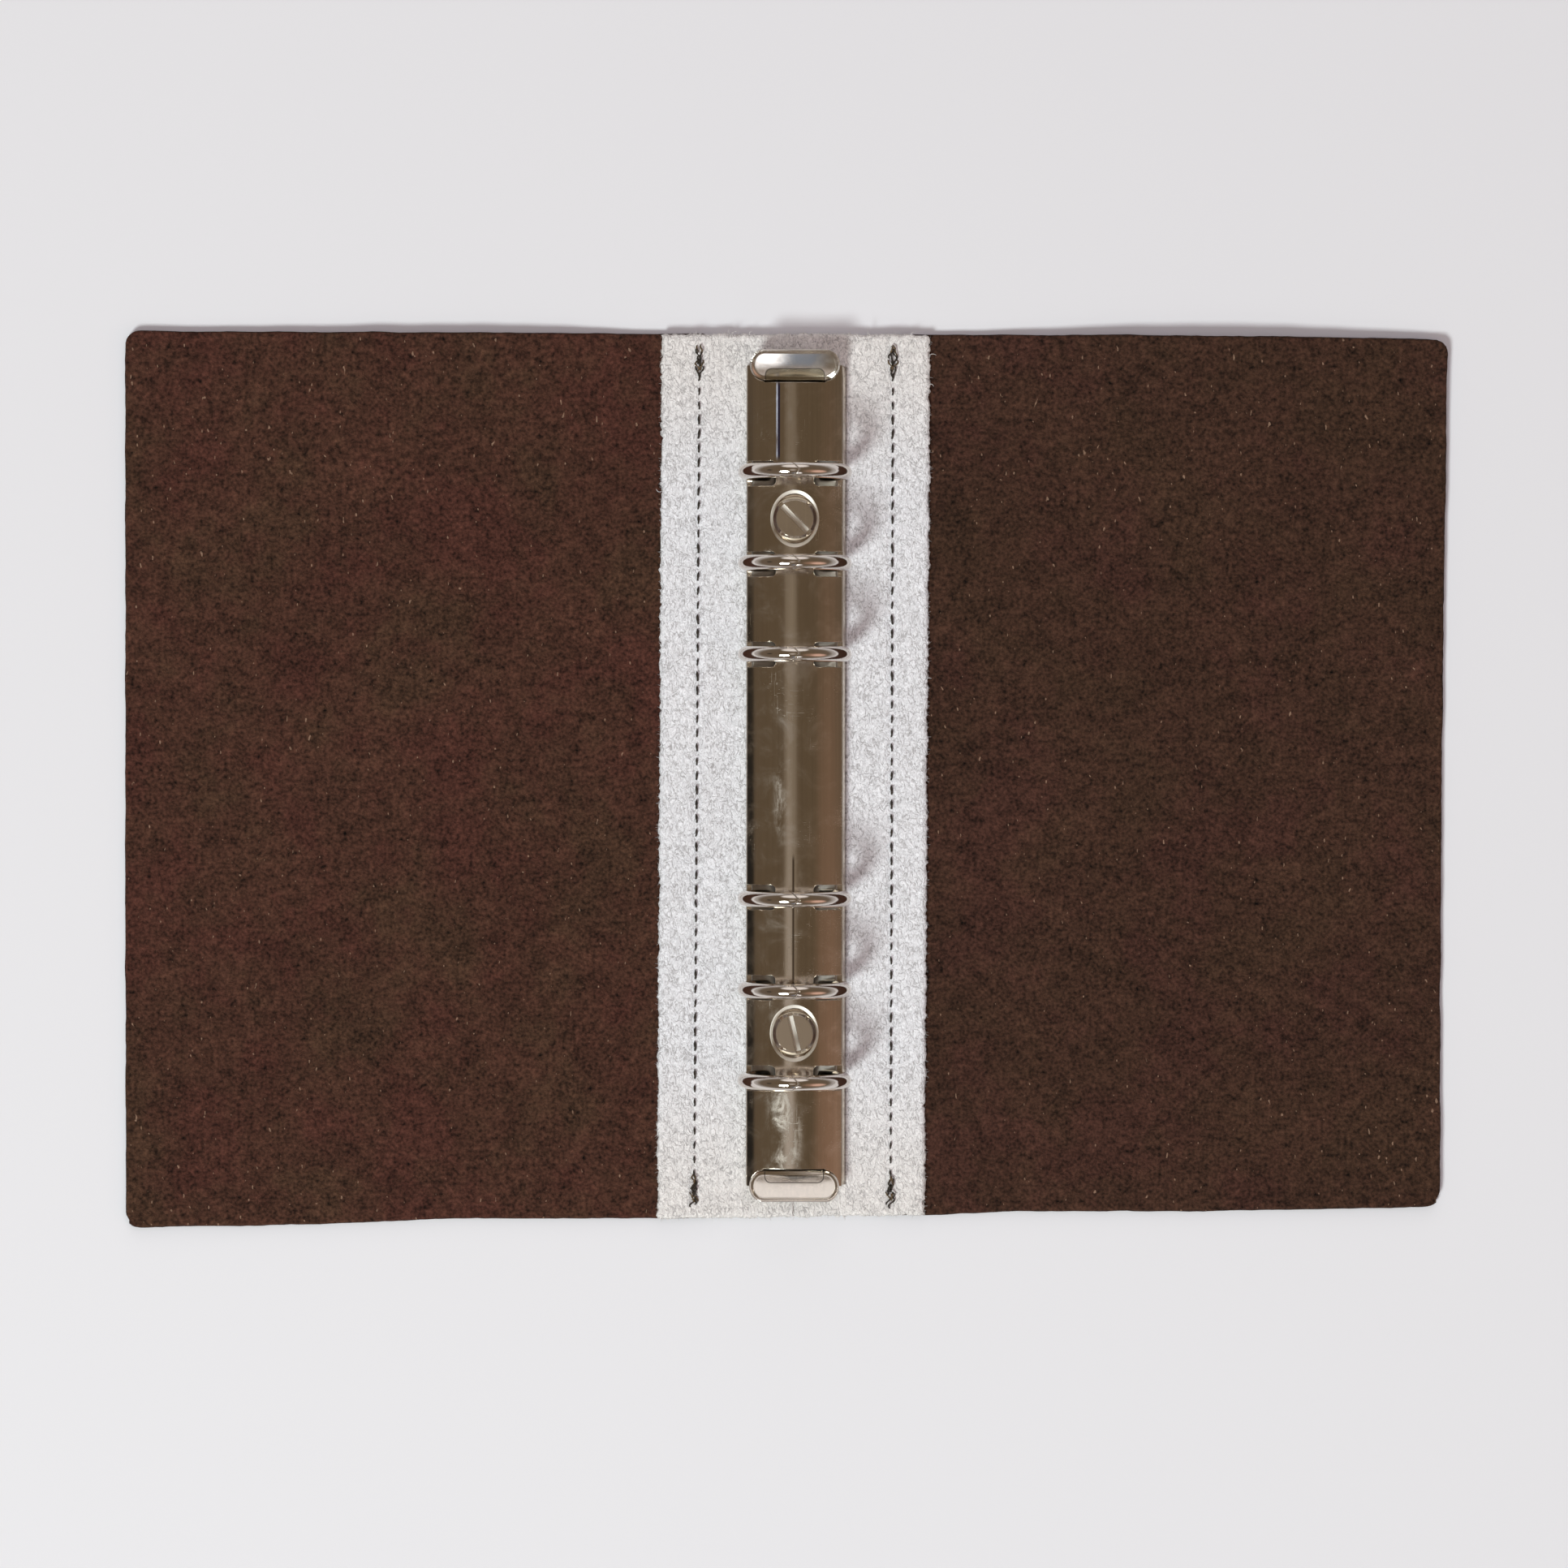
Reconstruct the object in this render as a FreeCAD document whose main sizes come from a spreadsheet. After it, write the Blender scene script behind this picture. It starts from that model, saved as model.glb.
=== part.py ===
import FreeCAD, Part
import math
import os

import Sketcher
from FreeCAD import Placement, Rotation, Vector

# An open six-ring leather cover, lying flat with its inside up.
# Millimetres. X runs across the open cover, Y along the spine, Z up from the table.
# The origin is on the table, under the middle of the spine.

SIZES = [
    # Leather covers
    ("cover_height", 187.0),
    ("cover_width", 120.8),
    ("cover_thick", 2.0),
    ("cover_corner", 2.8),
    ("spine_gap", 38.4),
    # Suede spine strip and its folds
    ("strip_lap", 8.8),
    ("strip_inset", 0.3),
    ("strip_thick", 1.4),
    ("fold_inset", 3.2),
    ("fold_slit", 0.3),
    # Stitching
    ("stitch_inset", 1.6),
    ("stitch_pitch", 3.0),
    ("stitch_margin", 3.6),
    ("thread", 0.6),
    ("thread_groove", 0.7),
    # Arched housing of the ring mechanism
    ("housing_width", 20.0),
    ("housing_length", 172.6),
    ("housing_rise", 6.0),
    ("arch_rise", 2.534),
    ("sheet", 0.8),
    ("ledge_reach", 1.0),
    ("ledge_gap", 0.15),
    ("ledge_stop", 7.3),
    ("mouth_step", 0.3),
    ("neck_gap", 0.25),
    # Ring positions and slots
    ("ring_pitch", 19.0),
    ("ring_middle_gap", 51.0),
    ("slot_gap", 1.0),
    ("slot_web", 8.0),
    ("slot_corner", 1.0),
    # Rings
    ("ring_radius", 10.3),
    ("ring_wire", 3.2),
    ("tip_reach", 0.8),
    ("tip_gap", 0.2),
    ("stub_width", 1.8),
    ("stub_inset", 1.75),
    ("stub_head", 2.5),
    ("stub_head_thick", 0.4),
    ("stub_fit", 0.05),
    # Blades under the arch
    ("blade_thick", 0.8),
    ("blade_inset", 8.8),
    ("blade_drop", 1.1125),
    ("blade_split", 0.3),
    ("edge_gap", 0.2),
    ("pivot_fit", 0.03),
    ("notch_gap", 0.15),
    # Press levers
    ("lever_sheet", 0.9),
    ("lever_side_gap", 0.15),
    ("lever_overhang", 3.1),
    ("lever_rise", 6.8),
    ("lever_corner", 3.0),
    ("lip_inset", 2.7),
    ("neck_rise", 1.7),
    ("neck_width", 12.5),
    ("tongue_width", 3.2),
    ("tongue_reach", 5.0),
    ("tongue_gap", 0.19),
    ("tongue_bend", 0.7),
    ("trunnion_inset", 5.8),
    ("trunnion_rise", 1.9),
    ("trunnion", 2.0),
    ("trunnion_fit", 0.05),
    ("wing_reach", 1.3),
    ("wing_bend", 0.4),
    ("wing_flat", 0.2),
    # Screws and the posts that they screw into
    ("screw_spacing", 108.0),
    ("dimple_depth", 0.75),
    ("dimple_gap", 0.1),
    ("dimple_slope", 30.0),
    ("screw_head", 9.2),
    ("screw_bevel", 0.75),
    ("screw_head_thick", 1.3),
    ("screw_rim", 0.45),
    ("screw_shank", 3.4),
    ("screw_length", 4.6),
    ("screw_slot", 1.1),
    ("screw_slot_depth", 0.6),
    ("screw_fit", 0.05),
    ("upper_slot_turn", -45.0),
    ("lower_slot_turn", -77.0),
    ("post_barrel", 5.0),
    ("post_flange", 10.0),
    ("post_chamfer", 0.3),
    ("post_fit", 0.1),
]

doc = FreeCAD.newDocument("RingCover")
sheet = doc.addObject("Spreadsheet::Sheet", "Sizes")
for row, (alias, size) in enumerate(SIZES, start=1):
    sheet.set(f"A{row}", alias)
    sheet.set(f"B{row}", str(size))
    sheet.setAlias(f"B{row}", alias)
doc.recompute()

# Heights, from the table up
STRIP_FLOOR = "Sizes.cover_thick"
SEAT = "(Sizes.cover_thick + Sizes.strip_thick)"
ARCH_TOP = f"({SEAT} + Sizes.housing_rise)"
ARCH_RADIUS = "(Sizes.arch_rise / 2 + Sizes.housing_width ^ 2 / (8 * Sizes.arch_rise))"
ARCH_CENTRE = f"({ARCH_TOP} - {ARCH_RADIUS})"
ARCH_INNER = f"({ARCH_RADIUS} - Sizes.sheet)"
WALL_OUT = "(Sizes.housing_width / 2)"
WALL_IN = "(Sizes.housing_width / 2 - Sizes.sheet)"
PIVOT_X = f"({WALL_IN} - Sizes.edge_gap - Sizes.blade_thick / 2)"
PIVOT_TURN = f"({ARCH_INNER} - Sizes.blade_thick / 2 - Sizes.pivot_fit)"
PIVOT_Z = f"({ARCH_CENTRE} + sqrt({PIVOT_TURN} ^ 2 - {PIVOT_X} ^ 2))"
LEDGE_TOP = f"({PIVOT_Z} - Sizes.blade_thick / 2 - Sizes.ledge_gap)"
LEDGE_IN = f"({WALL_IN} - Sizes.ledge_reach)"
SCREW_SEAT = f"({ARCH_TOP} - Sizes.dimple_depth)"
SCREW_FLOOR = f"({SCREW_SEAT} - Sizes.sheet)"
TRUNNION_Z = f"({SEAT} + Sizes.trunnion_rise)"

# Places across and along the cover
COVER_IN = "(Sizes.spine_gap / 2)"
COVER_OUT = "(Sizes.spine_gap / 2 + Sizes.cover_width)"
STRIP_HALF = "(Sizes.cover_height / 2 - Sizes.strip_inset)"
STRIP_OUT = f"({COVER_IN} + Sizes.strip_lap)"
FOLD_IN = f"({COVER_IN} - Sizes.fold_inset - Sizes.fold_slit / 2)"
FOLD_OUT = f"({COVER_IN} - Sizes.fold_inset + Sizes.fold_slit / 2)"
STITCH_X = f"({COVER_IN} + Sizes.stitch_inset)"
STITCHES = "floor((Sizes.cover_height - 2 * Sizes.stitch_margin) / Sizes.stitch_pitch)"
STITCH_END = f"({STITCHES} * Sizes.stitch_pitch / 2)"
HOUSING_END = "(Sizes.housing_length / 2)"
BLADE_END = f"({HOUSING_END} - Sizes.blade_inset)"
BLADE_TILT = f"atan(Sizes.blade_drop / ({PIVOT_X} - Sizes.blade_split / 2))"
BLADE_RUN = f"(({PIVOT_X} - Sizes.blade_split / 2) / cos({BLADE_TILT}))"
TRUNNION_Y = f"({HOUSING_END} - Sizes.trunnion_inset)"
LEVER_HALF = f"({WALL_IN} - Sizes.lever_side_gap)"
LEVER_END = f"({HOUSING_END} + Sizes.lever_overhang)"
OVAL_START = f"({LEVER_END} - 2 * Sizes.lever_corner)"
OVAL_MIDDLE = f"({LEVER_END} - Sizes.lever_corner)"
DIMPLE_FLOOR = "(Sizes.screw_head / 2 + Sizes.dimple_gap)"
DIMPLE_BACK = f"({DIMPLE_FLOOR} + Sizes.sheet * tan(Sizes.dimple_slope / 2))"

# Tool lengths that only have to reach past what they cut
PAST = 40
# Each ring half starts this many degrees past the top, before its tip is cut
RING_LAP = 8
# and ends where the wire has run down into its blade
RING_TURN = 146

SIDES = {"left": -1, "right": 1}
ENDS = {"upper": 1, "lower": -1}
RINGS = 6

cutters = []


def worth(expression):
    """The present value of an expression on the sheet."""
    return float(sheet.evalExpression(str(expression)))


def new_body(label):
    made = doc.addObject("PartDesign::Body", label)
    made.Label = label
    return made


def plane_of(body, role):
    return next(item for item in body.Origin.OriginFeatures if item.Role == role)


def sketch_on(body, name, role, lift="0"):
    """An empty sketch on one of the body's own origin planes, lifted off it."""
    sketch = body.newObject("Sketcher::SketchObject", name)
    sketch.AttachmentSupport = [(plane_of(body, role), "")]
    sketch.MapMode = "FlatFace"
    sketch.setExpression("AttachmentOffset.Base.z", lift)
    return sketch


def pin_point(sketch, edge, end, across, up):
    """Holds one point of a sketch at two distances from its origin."""
    for kind, expression in (("DistanceX", across), ("DistanceY", up)):
        index = sketch.addConstraint(
            Sketcher.Constraint(kind, -1, 1, edge, end, worth(expression)))
        sketch.setExpression(f"Constraints[{index}]", str(expression))


def add_loop(sketch, points):
    """A closed outline. A point is (across, up), and one that starts an arc adds
    (radius, lean across, lean up), where the lean says which way the arc bulges."""
    places = [Vector(worth(point[0]), worth(point[1]), 0) for point in points]
    starts = []
    ends = []
    edges = []
    for number, point in enumerate(points):
        here = places[number]
        there = places[(number + 1) % len(points)]
        if len(point) == 2:
            edges.append(sketch.addGeometry(Part.LineSegment(here, there)))
            starts.append(1)
            ends.append(2)
            continue
        radius, lean_across, lean_up = point[2:]
        size = worth(radius)
        half_chord = here.distanceToPoint(there) / 2
        sagitta = size - math.sqrt(max(size ** 2 - half_chord ** 2, 0))
        lean = Vector(lean_across, lean_up, 0).normalize()
        middle = (here + there) * 0.5 + lean * sagitta
        forward = (middle - here).cross(there - middle).z > 0
        first, last = (here, there) if forward else (there, here)
        edge = sketch.addGeometry(Part.Arc(first, middle, last))
        edges.append(edge)
        starts.append(1 if forward else 2)
        ends.append(2 if forward else 1)
        if half_chord < size * 0.9999:
            index = sketch.addConstraint(Sketcher.Constraint("Radius", edge, size))
            sketch.setExpression(f"Constraints[{index}]", str(radius))
    for number, point in enumerate(points):
        after = (number + 1) % len(points)
        sketch.addConstraint(Sketcher.Constraint(
            "Coincident", edges[number], ends[number], edges[after], starts[after]))
        pin_point(sketch, edges[number], starts[number], point[0], point[1])


def add_circle(sketch, across, up, radius):
    centre = Vector(worth(across), worth(up), 0)
    edge = sketch.addGeometry(Part.Circle(centre, Vector(0, 0, 1), worth(radius)))
    pin_point(sketch, edge, 3, across, up)
    index = sketch.addConstraint(Sketcher.Constraint("Radius", edge, worth(radius)))
    sketch.setExpression(f"Constraints[{index}]", str(radius))


def rectangle(left, low, right, high):
    return [(left, low), (right, low), (right, high), (left, high)]


def pad(body, name, sketch, length, both_ways=False):
    feature = body.newObject("PartDesign::Pad", name)
    feature.Profile = sketch
    feature.SideType = "Symmetric" if both_ways else "One side"
    feature.setExpression("Length", str(length))
    return feature


def pocket(body, name, sketch, length, both_ways=False, upward=False):
    feature = body.newObject("PartDesign::Pocket", name)
    feature.Profile = sketch
    feature.SideType = "Symmetric" if both_ways else "One side"
    feature.Reversed = upward
    feature.setExpression("Length", str(length))
    cutters.append(feature)
    return feature


def revolve(body, name, sketch):
    feature = body.newObject("PartDesign::Revolution", name)
    feature.Profile = sketch
    feature.ReferenceAxis = (sketch, ["V_Axis"])
    feature.Angle = 360
    return feature


def repeat_along(body, name, original, sketch, pitch, count):
    """Copies a cut along the sketch's own first axis."""
    feature = body.newObject("PartDesign::LinearPattern", name)
    feature.Originals = [original]
    feature.Direction = (sketch, ["H_Axis"])
    feature.Mode = "Spacing"
    feature.setExpression("Offset", pitch)
    feature.setExpression("Occurrences", count)
    body.Tip = feature
    cutters.append(feature)
    return feature


def place(item, across="0", along="0", up="0"):
    for axis, expression in (("x", across), ("y", along), ("z", up)):
        item.setExpression(f"Placement.Base.{axis}", str(expression))


def ring_y(number):
    """Rings 1 to 3 are above the middle gap and 4 to 6 below it."""
    half = RINGS // 2
    if number <= half:
        return f"(Sizes.ring_middle_gap / 2 + {half - number} * Sizes.ring_pitch)"
    return f"(-Sizes.ring_middle_gap / 2 - {number - half - 1} * Sizes.ring_pitch)"


def make_cover(label, side):
    """One leather panel, with a groove under it that the bobbin thread lies in."""
    body = new_body(label)
    inner = f"{side} * {COVER_IN}"
    outer = f"{side} * {COVER_OUT}"
    round_start = f"{side} * ({COVER_OUT} - Sizes.cover_corner)"
    top = "Sizes.cover_height / 2"
    below_top = "Sizes.cover_height / 2 - Sizes.cover_corner"
    corner = "Sizes.cover_corner"
    outline = sketch_on(body, f"{label}_outline", "XY_Plane")
    add_loop(outline, [
        (inner, f"-({top})"),
        (round_start, f"-({top})", corner, side, -1),
        (outer, f"-({below_top})"),
        (outer, below_top, corner, side, 1),
        (round_start, top),
        (inner, top),
    ])
    pad(body, f"{label}_panel", outline, "Sizes.cover_thick")
    groove = sketch_on(body, f"{label}_groove", "XY_Plane")
    half_groove = "Sizes.thread"
    add_loop(groove, rectangle(
        f"{side} * {STITCH_X} - {half_groove}", f"-{STITCH_END} - Sizes.thread",
        f"{side} * {STITCH_X} + {half_groove}", f"{STITCH_END} + Sizes.thread"))
    pocket(body, f"{label}_thread_groove", groove, "Sizes.thread_groove", upward=True)


def make_flap(label, side):
    """The outer band of the spine strip, which folds with its cover."""
    band = doc.addObject("Part::Box", label)
    band.Label = label
    band.setExpression("Length", f"{STRIP_OUT} - {FOLD_OUT}")
    band.setExpression("Width", f"2 * {STRIP_HALF}")
    band.setExpression("Height", "Sizes.strip_thick")
    left_edge = FOLD_OUT if side > 0 else f"-{STRIP_OUT}"
    place(band, left_edge, f"-{STRIP_HALF}", STRIP_FLOOR)


def make_spine_strip():
    """The middle of the strip, between the folds, with a hole for each post."""
    label = "spine_strip"
    body = new_body(label)
    outline = sketch_on(body, f"{label}_outline", "XY_Plane", STRIP_FLOOR)
    add_loop(outline, rectangle(f"-{FOLD_IN}", f"-{STRIP_HALF}", FOLD_IN, STRIP_HALF))
    pad(body, f"{label}_suede", outline, "Sizes.strip_thick")
    holes = sketch_on(body, f"{label}_holes", "XY_Plane", STRIP_FLOOR)
    for end in ENDS.values():
        add_circle(holes, "0", f"{end} * Sizes.screw_spacing / 2",
                   "Sizes.post_barrel / 2 + Sizes.post_fit")
    pocket(body, f"{label}_post_holes", holes, "Sizes.strip_thick", upward=True)


def make_stitching(label, side):
    """A line of lockstitch: thread above, thread below, and a leg in each hole."""
    body = new_body(label)
    line = f"{side} * {STITCH_X}"
    low = "(Sizes.thread_groove - Sizes.thread)"
    high = f"({SEAT} + Sizes.thread)"
    half = "Sizes.thread / 2"
    run = sketch_on(body, f"{label}_run", "YZ_Plane", line)
    add_loop(run, rectangle(f"-{STITCH_END} - {half}", low, f"{STITCH_END} + {half}", high))
    pad(body, f"{label}_threads", run, "Sizes.thread", both_ways=True)
    window = sketch_on(body, f"{label}_window", "YZ_Plane", line)
    add_loop(window, rectangle(
        f"-{STITCH_END} + {half}", "Sizes.thread_groove",
        f"-{STITCH_END} + Sizes.stitch_pitch - {half}", SEAT))
    leather = pocket(body, f"{label}_leather", window, "2 * Sizes.thread", both_ways=True)
    repeat_along(body, f"{label}_legs", leather, window, "Sizes.stitch_pitch", STITCHES)
    dip = sketch_on(body, f"{label}_dip", "YZ_Plane", line)
    add_loop(dip, [
        (f"-{STITCH_END} + Sizes.stitch_pitch - Sizes.thread", high),
        (f"-{STITCH_END} + Sizes.stitch_pitch", f"{high} - {half}"),
        (f"-{STITCH_END} + Sizes.stitch_pitch + Sizes.thread", high),
    ])
    sink = pocket(body, f"{label}_sink", dip, "2 * Sizes.thread", both_ways=True)
    repeat_along(body, f"{label}_stitches", sink, dip, "Sizes.stitch_pitch",
                 f"{STITCHES} - 1")


def add_primitive(body, kind, name, sizes, along, up):
    """An additive or subtractive round primitive on the body's own ground plane."""
    item = body.newObject(f"PartDesign::{kind}", name)
    item.AttachmentSupport = [(plane_of(body, "XY_Plane"), "")]
    item.MapMode = "FlatFace"
    item.setExpression("AttachmentOffset.Base.y", along)
    item.setExpression("AttachmentOffset.Base.z", up)
    for field, expression in sizes.items():
        item.setExpression(field, str(expression))
    if kind.startswith("Subtractive"):
        cutters.append(item)
    return item


def make_housing():
    """The arched sheet-metal housing, with a ledge along each wall for the blades."""
    label = "housing"
    body = new_body(label)
    shoulder = f"({ARCH_TOP} - Sizes.arch_rise)"
    inner_shoulder = f"({ARCH_CENTRE} + sqrt({ARCH_INNER} ^ 2 - {WALL_IN} ^ 2))"
    ledge_low = f"({LEDGE_TOP} - Sizes.sheet)"
    profile = sketch_on(body, f"{label}_profile", "XZ_Plane")
    add_loop(profile, [
        (WALL_IN, SEAT),
        (WALL_OUT, SEAT),
        (WALL_OUT, shoulder, ARCH_RADIUS, 0, 1),
        (f"-{WALL_OUT}", shoulder),
        (f"-{WALL_OUT}", SEAT),
        (f"-{WALL_IN}", SEAT),
        (f"-{WALL_IN}", ledge_low),
        (f"-{LEDGE_IN}", ledge_low),
        (f"-{LEDGE_IN}", LEDGE_TOP),
        (f"-{WALL_IN}", LEDGE_TOP),
        (f"-{WALL_IN}", inner_shoulder, ARCH_INNER, 0, 1),
        (WALL_IN, inner_shoulder),
        (WALL_IN, LEDGE_TOP),
        (LEDGE_IN, LEDGE_TOP),
        (LEDGE_IN, ledge_low),
        (WALL_IN, ledge_low),
    ])
    pad(body, f"{label}_arch", profile, "Sizes.housing_length", both_ways=True)

    funnel = "(Sizes.dimple_depth * 3 / 4)"
    for name, end in ENDS.items():
        along = f"{end} * Sizes.screw_spacing / 2"
        add_primitive(body, "AdditiveCone", f"{name}_dimple_back", {
            "Radius1": DIMPLE_BACK,
            "Radius2": f"{DIMPLE_BACK} + {funnel} / tan(Sizes.dimple_slope)",
            "Height": funnel,
        }, along, SCREW_FLOOR)
        add_primitive(body, "AdditiveCylinder", f"{name}_dimple_floor", {
            "Radius": DIMPLE_BACK,
            "Height": "Sizes.sheet",
        }, along, SCREW_FLOOR)
        add_primitive(body, "SubtractiveCone", f"{name}_dimple", {
            "Radius1": DIMPLE_FLOOR,
            "Radius2": f"{DIMPLE_FLOOR} + 2 * Sizes.dimple_depth / tan(Sizes.dimple_slope)",
            "Height": "2 * Sizes.dimple_depth",
        }, along, SCREW_SEAT)
        add_primitive(body, "SubtractiveCylinder", f"{name}_screw_hole", {
            "Radius": "Sizes.screw_shank / 2 + 2 * Sizes.screw_fit",
            "Height": "2 * Sizes.sheet",
        }, along, f"{SCREW_FLOOR} - Sizes.sheet / 2")

    for number in range(1, RINGS + 1):
        low = f"{ring_y(number)} - Sizes.ring_wire / 2 - Sizes.slot_gap"
        high = f"{ring_y(number)} + Sizes.ring_wire / 2 + Sizes.slot_gap"
        corner = "Sizes.slot_corner"
        slots = sketch_on(body, f"slots_{number}", "XY_Plane", LEDGE_TOP)
        for side in SIDES.values():
            inner = f"{side} * Sizes.slot_web / 2"
            bend = f"{side} * (Sizes.slot_web / 2 + {corner})"
            outer = f"{side} * Sizes.housing_width"
            add_loop(slots, [
                (outer, low),
                (outer, high),
                (bend, high, corner, -side, 1),
                (inner, f"{high} - {corner}"),
                (inner, f"{low} + {corner}", corner, -side, -1),
                (bend, low),
            ])
        pocket(body, f"ring_slots_{number}", slots, PAST, upward=True)

    neck = "(Sizes.neck_width / 2 + Sizes.neck_gap)"
    mouth_edge = f"({OVAL_START} - 2 * Sizes.neck_gap)"
    mouth_floor = f"({mouth_edge} - Sizes.mouth_step)"
    corner = "Sizes.lever_corner"
    for name, end in ENDS.items():
        mouth = sketch_on(body, f"{name}_mouth", "XY_Plane")
        add_loop(mouth, [
            (WALL_IN, f"{end} * {LEVER_END}"),
            (WALL_IN, f"{end} * {OVAL_MIDDLE}", corner, 1, -end),
            (neck, f"{end} * {mouth_edge}"),
            (neck, f"{end} * {mouth_floor}"),
            (f"-{neck}", f"{end} * {mouth_floor}"),
            (f"-{neck}", f"{end} * {mouth_edge}", corner, -1, -end),
            (f"-{WALL_IN}", f"{end} * {OVAL_MIDDLE}"),
            (f"-{WALL_IN}", f"{end} * {LEVER_END}"),
        ])
        pocket(body, f"{name}_mouth_cut", mouth, PAST, upward=True)
        relief = sketch_on(body, f"{name}_relief", "XY_Plane", SEAT)
        add_loop(relief, rectangle(
            f"-{WALL_IN}", f"{end} * ({HOUSING_END} - Sizes.ledge_stop)",
            WALL_IN, f"{end} * {LEVER_END}"))
        pocket(body, f"{name}_relief_cut", relief, f"{LEDGE_TOP} - {SEAT}", upward=True)

    bearings = sketch_on(body, "trunnion_holes", "YZ_Plane")
    for end in ENDS.values():
        add_circle(bearings, f"{end} * {TRUNNION_Y}", TRUNNION_Z,
                   "Sizes.trunnion / 2 + Sizes.trunnion_fit")
    pocket(body, "trunnion_bores", bearings, PAST, both_ways=True)


def tilt_with_blade(item, side):
    """Turns a piece drawn level so that it slopes down to the spine's middle."""
    item.Placement = Placement(Vector(), Rotation(Vector(0, -side, 0), 1))
    item.setExpression("Placement.Rotation.Angle", BLADE_TILT)


def blade_point(side, outward, above):
    """A place measured from the blade's pivot, along it and square to it."""
    across = (f"{side} * ({PIVOT_X} + ({outward}) * cos({BLADE_TILT})"
              f" - ({above}) * sin({BLADE_TILT}))")
    up = (f"{PIVOT_Z} + ({outward}) * sin({BLADE_TILT})"
          f" + ({above}) * cos({BLADE_TILT})")
    return across, up


def make_blade(label, side):
    """A long flat blade that carries six ring halves and turns on its outer edge."""
    body = new_body(label)
    half = "Sizes.blade_thick / 2"
    section = sketch_on(body, f"{label}_section", "XZ_Plane")
    add_loop(section, [
        ("0", f"-{half}", half, side, 0),
        ("0", half),
        (f"{-side} * {BLADE_RUN}", half),
        (f"{-side} * {BLADE_RUN}", f"-{half}"),
    ])
    pad(body, f"{label}_strip", section, f"2 * {BLADE_END}", both_ways=True)
    notches = sketch_on(body, f"{label}_notches", "XY_Plane")
    for end in ENDS.values():
        add_circle(notches, f"{-side} * {PIVOT_X} / cos({BLADE_TILT})",
                   f"{end} * Sizes.screw_spacing / 2",
                   f"{DIMPLE_BACK} + Sizes.notch_gap")
    pocket(body, f"{label}_post_notches", notches, PAST, both_ways=True)
    holes = sketch_on(body, f"{label}_holes", "XY_Plane")
    for number in range(1, RINGS + 1):
        add_circle(holes, f"{-side} * Sizes.stub_inset", ring_y(number),
                   "Sizes.stub_width / 2 + Sizes.stub_fit")
    pocket(body, f"{label}_stub_holes", holes, PAST, both_ways=True)
    tilt_with_blade(body, side)
    place(body, f"{side} * {PIVOT_X}", "0", PIVOT_Z)


def make_ring_half(number, name, side):
    """Half a ring: bent wire, a pointed or notched tip, and a stub riveted in the blade."""
    label = f"ring_{number}_{name}"
    along = ring_y(number)
    half = "Sizes.blade_thick / 2"
    stub_across, stub_up = blade_point(1, "-Sizes.stub_inset", half)
    centre_up = f"{stub_up} + sqrt(Sizes.ring_radius ^ 2 - ({stub_across}) ^ 2)"

    wire = doc.addObject("Part::Torus", f"{label}_wire")
    upright = Rotation(Vector(1, 1, 1), 240)
    turned = Rotation(Vector(0, 0, 1), 0 if side > 0 else 180)
    leaned = Rotation(Vector(0, 1, 0), -side * RING_LAP)
    wire.Placement = Placement(Vector(), leaned * turned * upright)
    wire.setExpression("Radius1", "Sizes.ring_radius")
    wire.setExpression("Radius2", "Sizes.ring_wire / 2")
    wire.Angle3 = RING_LAP + RING_TURN
    place(wire, "0", along, centre_up)

    wedge = doc.addObject("Part::Box", f"{label}_wedge")
    wedge.Placement = Placement(Vector(), Rotation(Vector(0, 0, 1), 135))
    wedge.Length = PAST
    wedge.Width = PAST
    wedge.Height = PAST
    shift = f"Sizes.tip_reach + {max(side, 0)} * Sizes.tip_gap"
    place(wedge, shift, along, "0")
    tipped = doc.addObject("Part::Cut" if side > 0 else "Part::Common", f"{label}_tip")
    tipped.Base = wire
    tipped.Tool = wedge

    ground = doc.addObject("Part::Box", f"{label}_ground")
    ground.Length = PAST
    ground.Width = PAST
    ground.Height = PAST
    tilt_with_blade(ground, side)
    across, up = blade_point(side, f"{-side * PAST / 2}", f"{half} - {PAST}")
    place(ground, across, f"{along} - {PAST / 2}", up)
    seated = doc.addObject("Part::Cut", f"{label}_seated")
    seated.Base = tipped
    seated.Tool = ground

    stub = doc.addObject("Part::Cylinder", f"{label}_stub")
    stub.setExpression("Radius", "Sizes.stub_width / 2")
    stub.setExpression("Height", "Sizes.blade_thick + Sizes.stub_head_thick / 2"
                                 " + Sizes.ring_wire / 4")
    tilt_with_blade(stub, side)
    across, up = blade_point(side, "-Sizes.stub_inset", f"-{half} - Sizes.stub_head_thick / 2")
    place(stub, across, along, up)

    head = doc.addObject("Part::Cylinder", f"{label}_head")
    head.setExpression("Radius", "Sizes.stub_head / 2")
    head.setExpression("Height", "Sizes.stub_head_thick")
    tilt_with_blade(head, side)
    across, up = blade_point(side, "-Sizes.stub_inset", f"-{half} - Sizes.stub_head_thick")
    place(head, across, along, up)

    ring = doc.addObject("Part::MultiFuse", label)
    ring.Label = label
    ring.Shapes = [seated, stub, head]


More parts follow.
